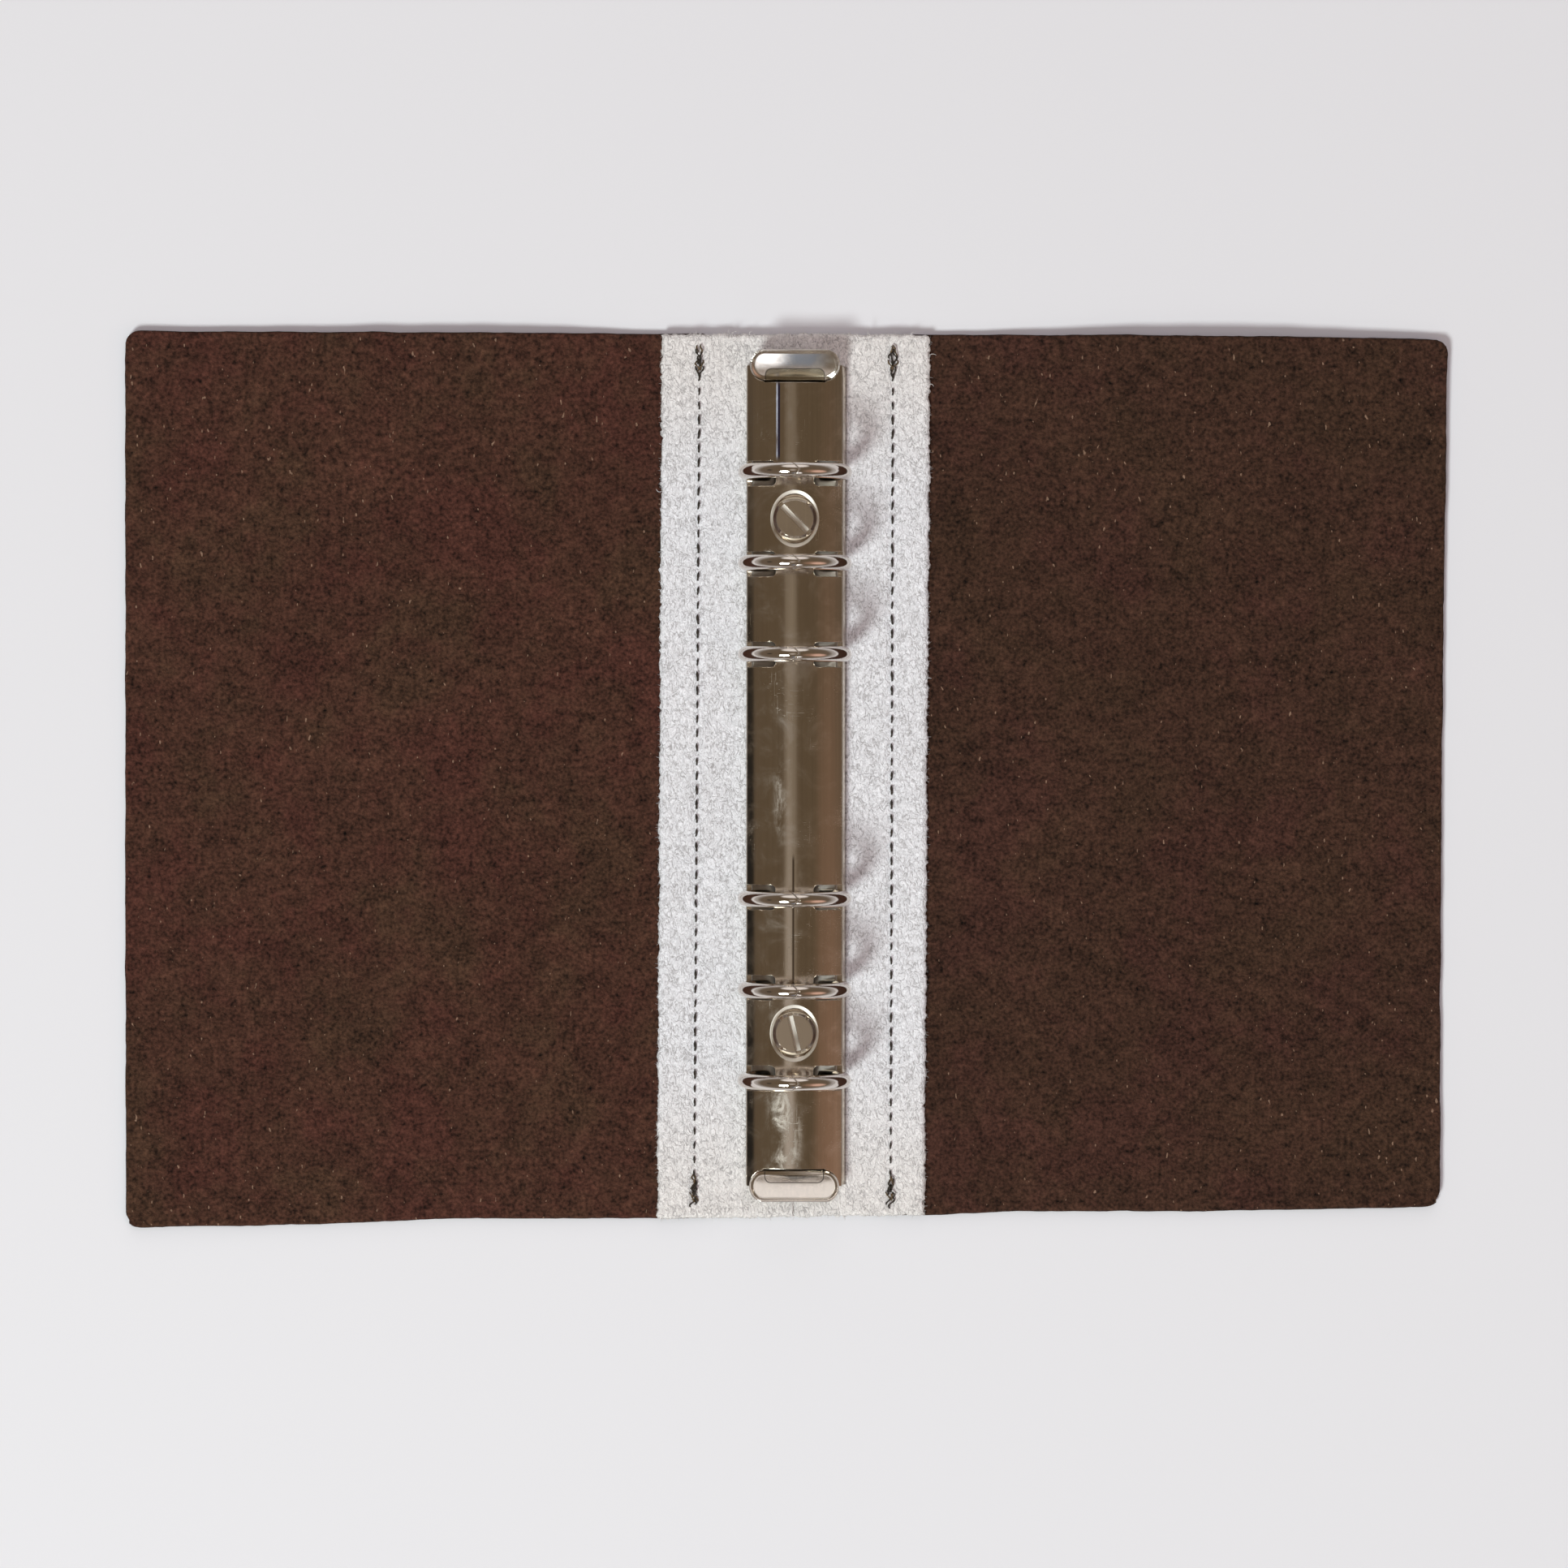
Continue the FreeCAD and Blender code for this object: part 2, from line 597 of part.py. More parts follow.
def make_lever(label, end):
    """A bent sheet lever: tongue under the blades, pin in the walls, lip outside."""
    body = new_body(label)
    half = "Sizes.lever_sheet / 2"
    blade_low = blade_point(1, f"-{BLADE_RUN}", "-Sizes.blade_thick / 2")[1]
    tongue_z = f"({blade_low} - Sizes.tongue_gap - {half})"
    tongue_tip = f"({BLADE_END} - Sizes.tongue_reach)"
    bend_start = f"({BLADE_END} + Sizes.tongue_bend)"
    bend_end = f"({TRUNNION_Y} - Sizes.wing_reach + Sizes.wing_bend)"
    flat_end = f"({TRUNNION_Y} + Sizes.wing_reach - Sizes.wing_flat)"
    lip_start = f"({HOUSING_END} - Sizes.lip_inset)"
    neck_z = f"({TRUNNION_Z} + Sizes.neck_rise)"
    lip_z = f"({SEAT} + Sizes.lever_rise)"
    bends = [
        (tongue_tip, tongue_z),
        (bend_start, tongue_z),
        (bend_end, TRUNNION_Z),
        (flat_end, TRUNNION_Z),
        (lip_start, neck_z),
        (LEVER_END, lip_z),
    ]
    section = sketch_on(body, f"{label}_section", "YZ_Plane")
    upper = [(f"{end} * {along}", f"{up} + {half}") for along, up in bends]
    lower = [(f"{end} * {along}", f"{up} - {half}") for along, up in reversed(bends)]
    add_loop(section, upper + lower)
    pad(body, f"{label}_sheet", section, f"4 * {LEVER_HALF}", both_ways=True)

    neck = "(Sizes.neck_width / 2)"
    tongue = "(Sizes.tongue_width / 2)"
    corner = "Sizes.lever_corner"
    wing_start = f"{end} * ({TRUNNION_Y} - Sizes.wing_reach)"
    wing_end = f"{end} * ({TRUNNION_Y} + Sizes.wing_reach)"
    right = [
        (tongue, f"{end} * {tongue_tip}"),
        (tongue, wing_start),
        (LEVER_HALF, wing_start),
        (LEVER_HALF, wing_end),
        (neck, wing_end),
        (neck, f"{end} * {OVAL_START}", corner, 1, -end),
        (LEVER_HALF, f"{end} * {OVAL_MIDDLE}", corner, 1, end),
        (f"{LEVER_HALF} - {corner}", f"{end} * {LEVER_END}"),
    ]
    left = []
    for number in range(len(right) - 1, -1, -1):
        point = right[number]
        before = right[number - 1] if number else ()
        mirrored = (f"-({point[0]})", point[1])
        if len(before) > 2:
            mirrored += (before[2], -before[3], before[4])
        left.append(mirrored)
    outline = sketch_on(body, f"{label}_outline", "XY_Plane")
    add_loop(outline, rectangle(-PAST, f"{end} * {LEVER_END} / 2",
                                PAST, f"{end} * ({LEVER_END} + {PAST})"))
    add_loop(outline, right + left)
    pocket(body, f"{label}_trim", outline, PAST, upward=True)

    pin = sketch_on(body, f"{label}_pin", "YZ_Plane")
    add_circle(pin, f"{end} * {TRUNNION_Y}", TRUNNION_Z, "Sizes.trunnion / 2")
    pad(body, f"{label}_trunnions", pin, "Sizes.housing_width - 2 * Sizes.trunnion_fit",
        both_ways=True)


def make_screw(label, end, turn):
    """A low slotted screw in its dimple, with its shank down in the post."""
    body = new_body(label)
    crown = f"({SCREW_SEAT} + Sizes.screw_head_thick)"
    shank = "Sizes.screw_shank / 2"
    profile = sketch_on(body, f"{label}_profile", "XZ_Plane")
    add_loop(profile, [
        ("0", f"{SCREW_SEAT} - Sizes.screw_length"),
        (shank, f"{SCREW_SEAT} - Sizes.screw_length"),
        (shank, SCREW_SEAT),
        ("Sizes.screw_head / 2", SCREW_SEAT),
        ("Sizes.screw_head / 2", f"{SCREW_SEAT} + Sizes.screw_rim"),
        ("Sizes.screw_head / 2 - Sizes.screw_bevel", crown),
        ("0", crown),
    ])
    revolve(body, f"{label}_turned", profile)
    slot = sketch_on(body, f"{label}_slot", "XY_Plane", crown)
    add_loop(slot, rectangle("-Sizes.screw_head", "-Sizes.screw_slot / 2",
                             "Sizes.screw_head", "Sizes.screw_slot / 2"))
    pocket(body, f"{label}_slot_cut", slot, "Sizes.screw_slot_depth")
    body.Placement = Placement(Vector(), Rotation(Vector(0, 0, 1), 1))
    body.setExpression("Placement.Rotation.Angle", turn)
    place(body, "0", f"{end} * Sizes.screw_spacing / 2", "0")


def make_post(label, end):
    """A flanged post under the strip, which the screw pulls the housing down to."""
    body = new_body(label)
    flange = "Sizes.post_flange / 2"
    bore = "(Sizes.screw_shank / 2 + Sizes.screw_fit)"
    bore_floor = f"({SCREW_SEAT} - Sizes.screw_length - 2 * Sizes.screw_fit)"
    profile = sketch_on(body, f"{label}_profile", "XZ_Plane")
    add_loop(profile, [
        ("0", "0"),
        (f"{flange} - Sizes.post_chamfer", "0"),
        (flange, "Sizes.post_chamfer"),
        (flange, STRIP_FLOOR),
        ("Sizes.post_barrel / 2", STRIP_FLOOR),
        ("Sizes.post_barrel / 2", SCREW_FLOOR),
        (bore, SCREW_FLOOR),
        (bore, bore_floor),
        ("0", bore_floor),
    ])
    revolve(body, f"{label}_turned", profile)
    place(body, "0", f"{end} * Sizes.screw_spacing / 2", "0")


for name, side in SIDES.items():
    make_cover(f"cover_{name}", side)
    make_flap(f"strip_flap_{name}", side)
    make_stitching(f"stitching_{name}", side)
    make_blade(f"blade_{name}", side)
    for number in range(1, RINGS + 1):
        make_ring_half(number, name, side)
make_spine_strip()
make_housing()
for name, end in ENDS.items():
    make_lever(f"lever_{name}", end)
    make_screw(f"screw_{name}", end, f"Sizes.{name}_slot_turn")
    make_post(f"post_{name}", end)
doc.recompute()

for item in doc.Objects:
    if "Invalid" in item.State or "Error" in item.State:
        raise RuntimeError(f"{item.Name} did not build: {item.State}")
for cutter in cutters:
    before = cutter.BaseFeature.Shape.Volume
    if cutter.Shape.Volume > before - 1e-4:
        raise RuntimeError(f"{cutter.Name} cuts nothing")

nodes = [item for item in doc.Objects
         if item.isDerivedFrom("PartDesign::Body")
         or (item.isDerivedFrom("Part::Feature") and not item.InList
             and not item.isDerivedFrom("PartDesign::Feature"))]
for node in nodes:
    if node.Shape.isNull() or not node.Shape.isValid():
        raise RuntimeError(f"{node.Label} is not a valid shape")
os.makedirs("parts", exist_ok=True)
for node in nodes:
    node.Shape.exportStep(f"parts/{node.Label}.step")
    box = node.Shape.BoundBox
    print(f"{node.Label}: {len(node.Shape.Solids)} solid, {node.Shape.Volume:.1f} mm3,"
          f" x {box.XMin:.2f}..{box.XMax:.2f}, y {box.YMin:.2f}..{box.YMax:.2f},"
          f" z {box.ZMin:.2f}..{box.ZMax:.2f}")
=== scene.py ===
# %% [markdown]
# This script dresses an open six-ring binder cover: two brown leather panels joined by a strip of
# white suede, and on the strip an arched metal housing with six split rings and two press levers.
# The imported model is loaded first, as a fixed frame. Its metal parts stay and get a better finish.
# Its soft parts are plain solids, so each is replaced by a piece made here.

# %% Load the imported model
import math
import random

import bmesh
import bpy
import numpy as np
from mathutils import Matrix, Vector, noise


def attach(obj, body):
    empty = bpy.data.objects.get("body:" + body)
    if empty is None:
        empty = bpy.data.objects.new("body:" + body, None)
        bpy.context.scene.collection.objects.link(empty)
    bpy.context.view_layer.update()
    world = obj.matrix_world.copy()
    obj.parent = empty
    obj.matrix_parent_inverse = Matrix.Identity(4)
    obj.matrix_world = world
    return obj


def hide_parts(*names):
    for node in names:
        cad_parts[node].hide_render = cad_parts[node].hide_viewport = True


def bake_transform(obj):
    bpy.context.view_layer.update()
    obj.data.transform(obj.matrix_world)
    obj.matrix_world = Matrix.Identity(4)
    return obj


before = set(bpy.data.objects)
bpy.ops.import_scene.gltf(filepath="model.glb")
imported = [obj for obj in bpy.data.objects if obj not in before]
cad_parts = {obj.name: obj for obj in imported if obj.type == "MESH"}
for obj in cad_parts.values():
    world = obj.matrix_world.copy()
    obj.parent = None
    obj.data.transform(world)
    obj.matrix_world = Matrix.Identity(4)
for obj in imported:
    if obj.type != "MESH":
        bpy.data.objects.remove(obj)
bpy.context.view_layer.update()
MM = 0.001

# %% [markdown]
# The photograph looks straight down from about a metre. A long lens from that height gives the
# same slight perspective, in which the ring tops look a little larger than the leather below them.

# %% Camera
eye = bpy.data.objects.new("eye", bpy.data.cameras.new("eye"))
bpy.context.scene.collection.objects.link(eye)
eye.location = Vector((-8.12, 10.43, 1100)) * MM
eye.rotation_euler = (-0.0111, -0.0054, 0.001)
eye.data.sensor_width = 36
eye.data.lens = 119.38
eye.data.clip_start, eye.data.clip_end = 0.05, 20
bpy.context.scene.camera = eye
print("camera height in mm:", eye.location.z / MM)

# %% [markdown]
# A finish is a tree of shader nodes. Writing one node at a time is long and hard to read, so sums
# on sockets are written as sums: this small class wraps a socket, and each operator adds a Math
# node.


# %% Sockets that take operators
class Value:
    """A shader socket that Python's operators work on."""

    def __init__(self, finish, socket):
        self.finish, self.socket = finish, socket

    def maths(self, operation, a, b=0.0):
        return self.finish.node("ShaderNodeMath", {"operation": operation}, {0: a, 1: b})

    def __add__(self, other):
        return self.maths("ADD", self, other)

    def __sub__(self, other):
        return self.maths("SUBTRACT", self, other)

    def __rsub__(self, other):
        return self.maths("SUBTRACT", other, self)

    def __mul__(self, other):
        return self.maths("MULTIPLY", self, other)

    def __truediv__(self, other):
        return self.maths("DIVIDE", self, other)

    def __pow__(self, other):
        return self.maths("POWER", self, other)

    def __abs__(self):
        return self.maths("ABSOLUTE", self)

    __radd__ = __add__
    __rmul__ = __mul__

    def above(self, low, high):
        """0 under low, 1 over high, with a smooth step between them."""
        return self.finish.node(
            "ShaderNodeMapRange", {"interpolation_type": "SMOOTHSTEP"},
            {"Value": self, "From Min": low, "From Max": high})


# %% A finish and its nodes
class Finish:
    """One material, built on the shader it starts with."""

    def __init__(self, name):
        self.material = bpy.data.materials.new(name)
        self.material.use_nodes = True
        self.tree = self.material.node_tree
        self.shader = self.tree.nodes["Principled BSDF"]
        self.place = self.node("ShaderNodeTexCoord", out="Object")

    def node(self, kind, settings=(), sockets=(), out=0):
        """Adds a node: its type, then its settings, then the values or links of its sockets."""
        made = self.tree.nodes.new(kind)
        for name, value in dict(settings).items():
            setattr(made, name, value)
        for name, value in dict(sockets).items():
            self.join(made.inputs[name], value)
        return Value(self, made.outputs[out])

    def join(self, socket, value):
        if isinstance(value, Value):
            self.tree.links.new(value.socket, socket)
        else:
            socket.default_value = value

    def noise(self, size, detail=2.0, roughness=0.5, stretch=(1, 1, 1), turn=0.0, distortion=0.0):
        """Cloudy variation, 0 to 1, with features about size millimetres across."""
        place = self.node(
            "ShaderNodeMapping", {},
            {"Vector": self.place, "Rotation": (0, 0, turn), "Scale": stretch})
        return self.node(
            "ShaderNodeTexNoise", {},
            {"Vector": place, "Scale": 1 / (size * MM), "Detail": detail, "Roughness": roughness,
             "Distortion": distortion}, "Fac")

    def layers(self, *sizes_and_amounts):
        """Noise of several sizes summed about 1: each has a size in millimetres and an amount."""
        total = 1.0
        for size, amount in sizes_and_amounts:
            total = total + (self.noise(size, 1.5) - 0.5) * amount
        return total

    def shaded(self, colour, shade):
        """A colour times a number."""
        grey = self.node("ShaderNodeCombineXYZ", {}, {0: shade, 1: shade, 2: shade})
        return self.mix(1.0, colour, grey, "MULTIPLY")

    def mix(self, factor, a, b, kind="MIX"):
        """Colour a where factor is 0, and colour b where it is 1."""
        return self.node(
            "ShaderNodeMix", {"data_type": "RGBA", "blend_type": kind},
            {0: factor, 6: a, 7: b}, 2)

    def maximum(self, a, b):
        return self.node("ShaderNodeMath", {"operation": "MAXIMUM"}, {0: a, 1: b})

    def axis(self, name):
        """One coordinate of the object, in millimetres."""
        return self.node("ShaderNodeSeparateXYZ", {}, {0: self.place}, name) * (1 / MM)

    def bump(self, height, depth, normal=None):
        """Bends the normal as a relief of depth millimetres would."""
        sockets = {"Height": height, "Distance": depth * MM, "Strength": 1.0}
        if normal is not None:
            sockets["Normal"] = normal
        return self.node("ShaderNodeBump", {}, sockets, "Normal")

    def set(self, **sockets):
        """Fills the shader's sockets, which are named here in small letters."""
        for name, value in sockets.items():
            label = name.replace("_", " ").title().replace("Ior", "IOR")
            self.join(self.shader.inputs[label], value)
        return self.material


def paint(red, green, blue):
    """A colour read off a screen, 0 to 255, as the linear colour that nodes use."""
    linear = [((v / 255 + 0.055) / 1.055) ** 2.4 if v > 10 else v / 3294.6
              for v in (red, green, blue)]
    return (*linear, 1.0)


print("a screen grey of 188 is", round(paint(188, 188, 188)[0], 3), "in the nodes")

# %% [markdown]
# Brown suede is leather with its flesh side up. The nap is a felt of short fibres, so it has no
# gloss: it is matt, mottled at about a millimetre, and stroked patches lean to red or to olive.
# Layers of noise give those scales. Thin ridges are strands that lie flat, and a few pale flecks
# are caught in the nap. A little sheen gives the soft light edge that it shows at a low angle.


# %% Brown suede
def make_brown_suede(name, base, red, olive):
    suede = Finish(name)
    patches = suede.noise(30, 4, 0.65)
    colour = suede.mix(patches.above(0.5, 0.62), base, red)
    colour = suede.mix((1 - patches).above(0.5, 0.62), colour, olive)
    nap = suede.layers((0.7, 1.75), (1.4, 1.4), (2.9, 0.8))
    cloud = suede.layers((6, 0.2), (14, 0.08), (38, 0.26))
    strands = 1 - abs(suede.noise(1.7, 3, 0.6, distortion=1.2) - 0.5).above(0.0, 0.05)
    laid = suede.noise(6, 2, 0.6).above(0.4, 0.6)
    colour = suede.shaded(colour, nap * cloud + strands * laid * 0.36 - 0.05)
    flecks = suede.noise(1.0, 1, 0.9, stretch=(1, 0.5, 1), turn=0.6).above(0.73, 0.76)
    colour = suede.mix(flecks * 0.6, colour, paint(160, 130, 108))
    return suede.set(base_color=colour, roughness=0.92, normal=suede.bump(nap + strands, 0.08),
                     specular_ior_level=0.15, sheen_weight=0.05, sheen_roughness=0.5,
                     sheen_tint=paint(190, 150, 128))


suede_left = make_brown_suede(
    "brown_suede_left", paint(69, 44, 34), paint(71, 42, 34), paint(67, 46, 34))
suede_right = make_brown_suede(
    "brown_suede_right", paint(63, 42, 32), paint(65, 41, 33), paint(61, 42, 31))

# %% [markdown]
# The other side of the leather is its grain: smoother, slightly glossy, with the fine cells and
# creases of a hide. Voronoi cells give that pattern. The cut edge shows the darker, dry core.


# %% Leather grain and cut edge
def make_grain():
    grain = Finish("brown_grain")
    cells = grain.node("ShaderNodeTexVoronoi", {"feature": "DISTANCE_TO_EDGE"},
                       {"Vector": grain.place, "Scale": 1 / (1.1 * MM)}, "Distance")
    creases = grain.noise(9, 5, 0.6, distortion=0.6)
    colour = grain.mix(creases, paint(52, 33, 27), paint(74, 48, 39))
    relief = cells.above(0.0, 0.16) * 0.7 + creases * 0.6
    return grain.set(base_color=colour, roughness=0.5 - 0.12 * creases,
                     normal=grain.bump(relief, 0.12))


def make_cut_edge():
    edge = Finish("leather_edge")
    fuzz = edge.noise(0.4, 4, 0.7)
    return edge.set(base_color=edge.mix(fuzz, paint(28, 18, 15), paint(62, 42, 34)),
                    roughness=0.95, normal=edge.bump(fuzz, 0.2), specular_ior_level=0.15)


leather_grain, leather_edge = make_grain(), make_cut_edge()
print("leather finishes:", suede_left.name, leather_grain.name, leather_edge.name)

# %% [markdown]
# White suede is the same felt in a pale hide. In the photograph it is covered with fine grey lines
# that wander like worms: fibres that lie flat, with shade between them. A noise that is folded
# about its middle gives such lines, because the fold turns every crossing of 0.5 into a thin
# ridge.


# %% White suede
def make_white_suede():
    suede = Finish("white_suede")
    laid = {"stretch": (1, 0.62, 1), "turn": 0.55}
    worms = abs(suede.noise(1.15, 2, 0.55, distortion=0.6, **laid) - 0.5) * 2
    fine = abs(suede.noise(0.7, 2, 0.6, distortion=0.8, **laid) - 0.5) * 2
    here = suede.noise(1.9, 2, 0.6).above(0.36, 0.56)
    lines = (1 - worms.above(0.0, 0.11)) * here + (1 - fine.above(0.0, 0.15)) * 0.45
    nap = suede.layers((0.45, 0.5), (1.6, 0.06), (4, 0.05), (14, 0.05))
    ends = abs(suede.axis("Y")).above(55, 93) * 0.8
    colour = suede.mix(ends, paint(237, 237, 239), paint(234, 229, 223))
    colour = suede.shaded(colour, nap)
    colour = suede.mix(lines * 0.6, colour, paint(150, 146, 145))
    dirt = suede.noise(1.1, 3, 0.8).above(0.66, 0.74)
    colour = suede.mix(dirt * 0.6, colour, paint(120, 114, 110))
    relief = worms.above(0.0, 0.25) * 0.8 + fine.above(0.0, 0.3) * 0.5 + nap * 0.3
    return suede.set(base_color=colour, roughness=0.95, normal=suede.bump(relief, 0.12),
                     specular_ior_level=0.12, sheen_weight=0.05, sheen_roughness=0.4)


white_suede = make_white_suede()
print("strip finish:", white_suede.name)

# %% [markdown]
# The mechanism is nickel plate over steel: bright metal, worn by years of leaves and fingers. It
# has hairline scratches along and across it, and smudges that blur the mirror. Most of the colour
# that it shows is that of the room above it, so its own colour is a plain warm grey. A few lines
# and rims on it are painted reflections, painted highlights and painted shade.


# %% Nickel plate
EDGE_ROUNDING = 0.3


def make_plate(name, colour, shade, rough, wear, painted_reflections=(), marks_at=None):
    """wear is how scratched and smudged the plate is, from 0 to 1. A painted reflection is a line
    along
    y: its x, its two ends in millimetres, its colour and its added roughness. marks_at(plate) gives
    other marks, among them painted highlights and painted shade: for each a mask of where it is, its
    colour and its added roughness."""
    plate = Finish(name)
    smudge = plate.noise(7, 5, 0.7, distortion=0.5)
    rolled = plate.noise(0.5, 2, 0.5, stretch=(1, 0.01, 1)) - 0.5
    along = plate.noise(0.16, 1, 0.5, stretch=(1, 0.02, 1), turn=0.04).above(0.66, 0.72)
    across = plate.noise(0.16, 1, 0.5, stretch=(0.03, 1, 1), turn=0.7).above(0.69, 0.74)
    slanted = plate.noise(0.16, 1, 0.5, stretch=(0.03, 1, 1), turn=-1.0).above(0.69, 0.74)
    rubbed = plate.noise(11, 4, 0.6).above(0.5, 0.66)
    scratches = (along + across + slanted) * rubbed
    worn = plate.mix(smudge.above(0.45, 0.75) * 0.5 * wear, colour, shade)
    worn = plate.shaded(worn, 1 + rolled * 0.22 * wear)
    roughness = rough + (smudge.above(0.42, 0.8) * 0.16 + scratches * 0.2) * wear
    # Each of these lines paints a reflection into the plate's colour.
    for x, low, high, tint, dull in painted_reflections:
        here = 1 - abs(plate.axis("X") - x).above(0.08, 0.34)
        here = here * plate.axis("Y").above(low, low + 2)
        here = here * (1 - plate.axis("Y").above(high - 2, high))
        worn = plate.mix(here, worn, tint)
        roughness = roughness + here * dull
    for mask, tint, dull in marks_at(plate) if marks_at else ():
        worn = plate.mix(mask, worn, tint)
        roughness = roughness + mask * dull
    rounded = plate.node("ShaderNodeBevel", {"samples": 3}, {"Radius": EDGE_ROUNDING * MM})
    return plate.set(base_color=worn, metallic=1.0, roughness=roughness,
                     normal=plate.bump(scratches * -0.4 + smudge * 0.5, 0.006 * wear, rounded))


# %% Marks on the plate
SMEARS = [(-1.9, 5.6, -75, 15, 0.85), (-2.7, 2.6, -5, 12, 0.7), (-0.6, 2.2, 72, 8, 0.5)]
SCREW_Y = 54
DIMPLE_HALF_X, DIMPLE_HALF_Y = 4.9, 5.7
SLOT_FLOOR, SLOT_REACH = 9.5, 3.7
NECK_X, NECK_Y, NECK_CORNER = 4.9, 84.2, 1.3
# A pale tint for painted highlights, round each screw's dimple and on the slot floors.
PAINTED_HIGHLIGHT = paint(244, 238, 230)


def smears_and_painted_highlights(plate):
    """Smears where fingers have dulled the arch, and a thin ellipse round each screw at the pressed
    dimple's edge: rubbed, rougher metal with a painted highlight in its paler colour. A smear has a
    middle x, a half width, a middle y, a half length and a strength."""
    x, y = plate.axis("X"), plate.axis("Y")
    cloudy = plate.noise(3.2, 5, 0.72, stretch=(1, 0.4, 1), distortion=0.7).above(0.4, 0.66)
    marks = []
    for middle, width, along, length, strength in SMEARS:
        dx, dy = (x - middle) * (1 / width), (y - along) * (1 / length)
        mask = (1 - ((dx * dx + dy * dy) ** 0.5).above(0.3, 1)) * cloudy * strength
        marks.append((mask, paint(224, 216, 206), 0.27))
    # The ellipse's paler colour is a painted highlight, and its added roughness is the rubbing.
    y = abs(y) - SCREW_Y
    far = (x * x * (1 / DIMPLE_HALF_X ** 2) + y * y * (1 / DIMPLE_HALF_Y ** 2)) ** 0.5
    return marks + [(1 - abs(far - 0.985).above(0.03, 0.085), PAINTED_HIGHLIGHT, 0.45)]


def painted_slot_highlights(plate):
    """A painted highlight on the bottom of a screw's slot: low, and well inside the head."""
    x, y = plate.axis("X"), abs(plate.axis("Y")) - SCREW_Y
    low = 1 - plate.axis("Z").above(SLOT_FLOOR, SLOT_FLOOR + 0.3)
    inside = 1 - ((x * x + y * y) ** 0.5).above(SLOT_REACH, SLOT_REACH + 0.1)
    return [(low * inside * 0.9, PAINTED_HIGHLIGHT, 0.45)]


def painted_neck_shading(plate):
    """A painted shade line along the D-shaped bend where a lever's pad runs into its neck. Inside
    the upper one there is a painted olive reflection.
    """
    dx = plate.maximum(abs(plate.axis("X")) - NECK_X, 0)
    dy = plate.maximum(abs(plate.axis("Y")) - NECK_Y, 0)
    far = (dx * dx + dy * dy) ** 0.5
    line = 1 - abs(far - NECK_CORNER).above(0.04, 0.13)
    inside = (1 - far.above(NECK_CORNER - 0.1, NECK_CORNER)) * plate.axis("Y").above(0, 1)
    # The line is painted shade at the bend, and the olive inside is a painted reflection.
    return [(inside * 0.75, paint(152, 140, 110), 0.12), (line, paint(92, 84, 76), 0.1)]


# %% The metal parts' finishes
arch_plate = make_plate(
    "nickel_arch", paint(206, 196, 182), paint(232, 226, 220), 0.1, 1.0,
    # Painted reflections: a white-blue and a dark-blue line by the upper end, and a dark line along
    # the middle of the lower half.
    [(-3.75, 65.6, 83.6, paint(226, 232, 255), 0.27), (-3.35, 65.6, 83.6, paint(90, 92, 150), 0.0),
     (-0.25, -47, -16, paint(110, 98, 84), 0.0)],
    smears_and_painted_highlights)
ring_plate = make_plate("nickel_rings", paint(222, 214, 206), paint(206, 198, 190), 0.05, 0.3)
lever_plate = make_plate("nickel_levers", paint(227, 221, 213), paint(212, 204, 195), 0.09, 0.6,
                         marks_at=painted_neck_shading)
screw_plate = make_plate("nickel_screws", paint(214, 204, 190), paint(186, 176, 162), 0.1, 0.6,
                         marks_at=painted_slot_highlights)
steel_plate = make_plate("plain_steel", paint(170, 166, 160), paint(140, 134, 128), 0.3, 1.0)

FINISH_OF = {"housing": arch_plate, "lever": lever_plate, "screw": screw_plate,
             "ring": ring_plate, "blade": steel_plate, "post": steel_plate}
for name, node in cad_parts.items():
    if name.split("_")[0] in FINISH_OF:
        node.data.materials.clear()
        node.data.materials.append(FINISH_OF[name.split("_")[0]])
print("metal nodes finished:", sum(n.split("_")[0] in FINISH_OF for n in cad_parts))

# %% [markdown]
# The press levers are stamped from sheet: each ends in an oval pad that rises outwards and is
# hollowed for a fingertip, with a thin raised rim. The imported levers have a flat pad. Here a copy
# of each is remeshed finely, which also rounds its edges as stamping does. Then its pad is pressed
# hollow, and made slightly wider.


# %% Pressing the pads
PAD = {"half_width": 9.05, "near": 83.4, "far": 89.4, "corner": 3.0}
PAD_START, PAD_WIDER, PAD_LONGER = 82, 0.045, 0.06
RIM_WIDTH, RIM_HEIGHT, HOLLOW = 0.7, 0.16, 0.6
VOXEL = 0.16


def into_pad(x, y):
    """How far inside the pad's outline a place is, in millimetres. y is taken without its sign."""
    middle, half = (PAD["near"] + PAD["far"]) / 2, (PAD["far"] - PAD["near"]) / 2
    corner = PAD["corner"]
    dx = abs(x) - (PAD["half_width"] - corner)
    dy = abs(y - middle) - (half - corner)
    return corner - math.hypot(max(dx, 0), max(dy, 0)) - min(max(dx, dy), 0)


def eased(value, low, high):
    """0 under low, 1 over high, with a smooth step between them."""
    share = min(max((value - low) / (high - low), 0), 1)
    return share * share * (3 - 2 * share)


def pressed(x, y):
    """How far the pad is pressed down at a place: the hollow across it, and its rim."""
    hollow = HOLLOW * (1 - min(abs(x) / PAD["half_width"], 1) ** 2)
    return (eased(y, 82.6, 84.4) * hollow
            + eased(into_pad(x, y), 0.2, 0.2 + RIM_WIDTH) * RIM_HEIGHT)


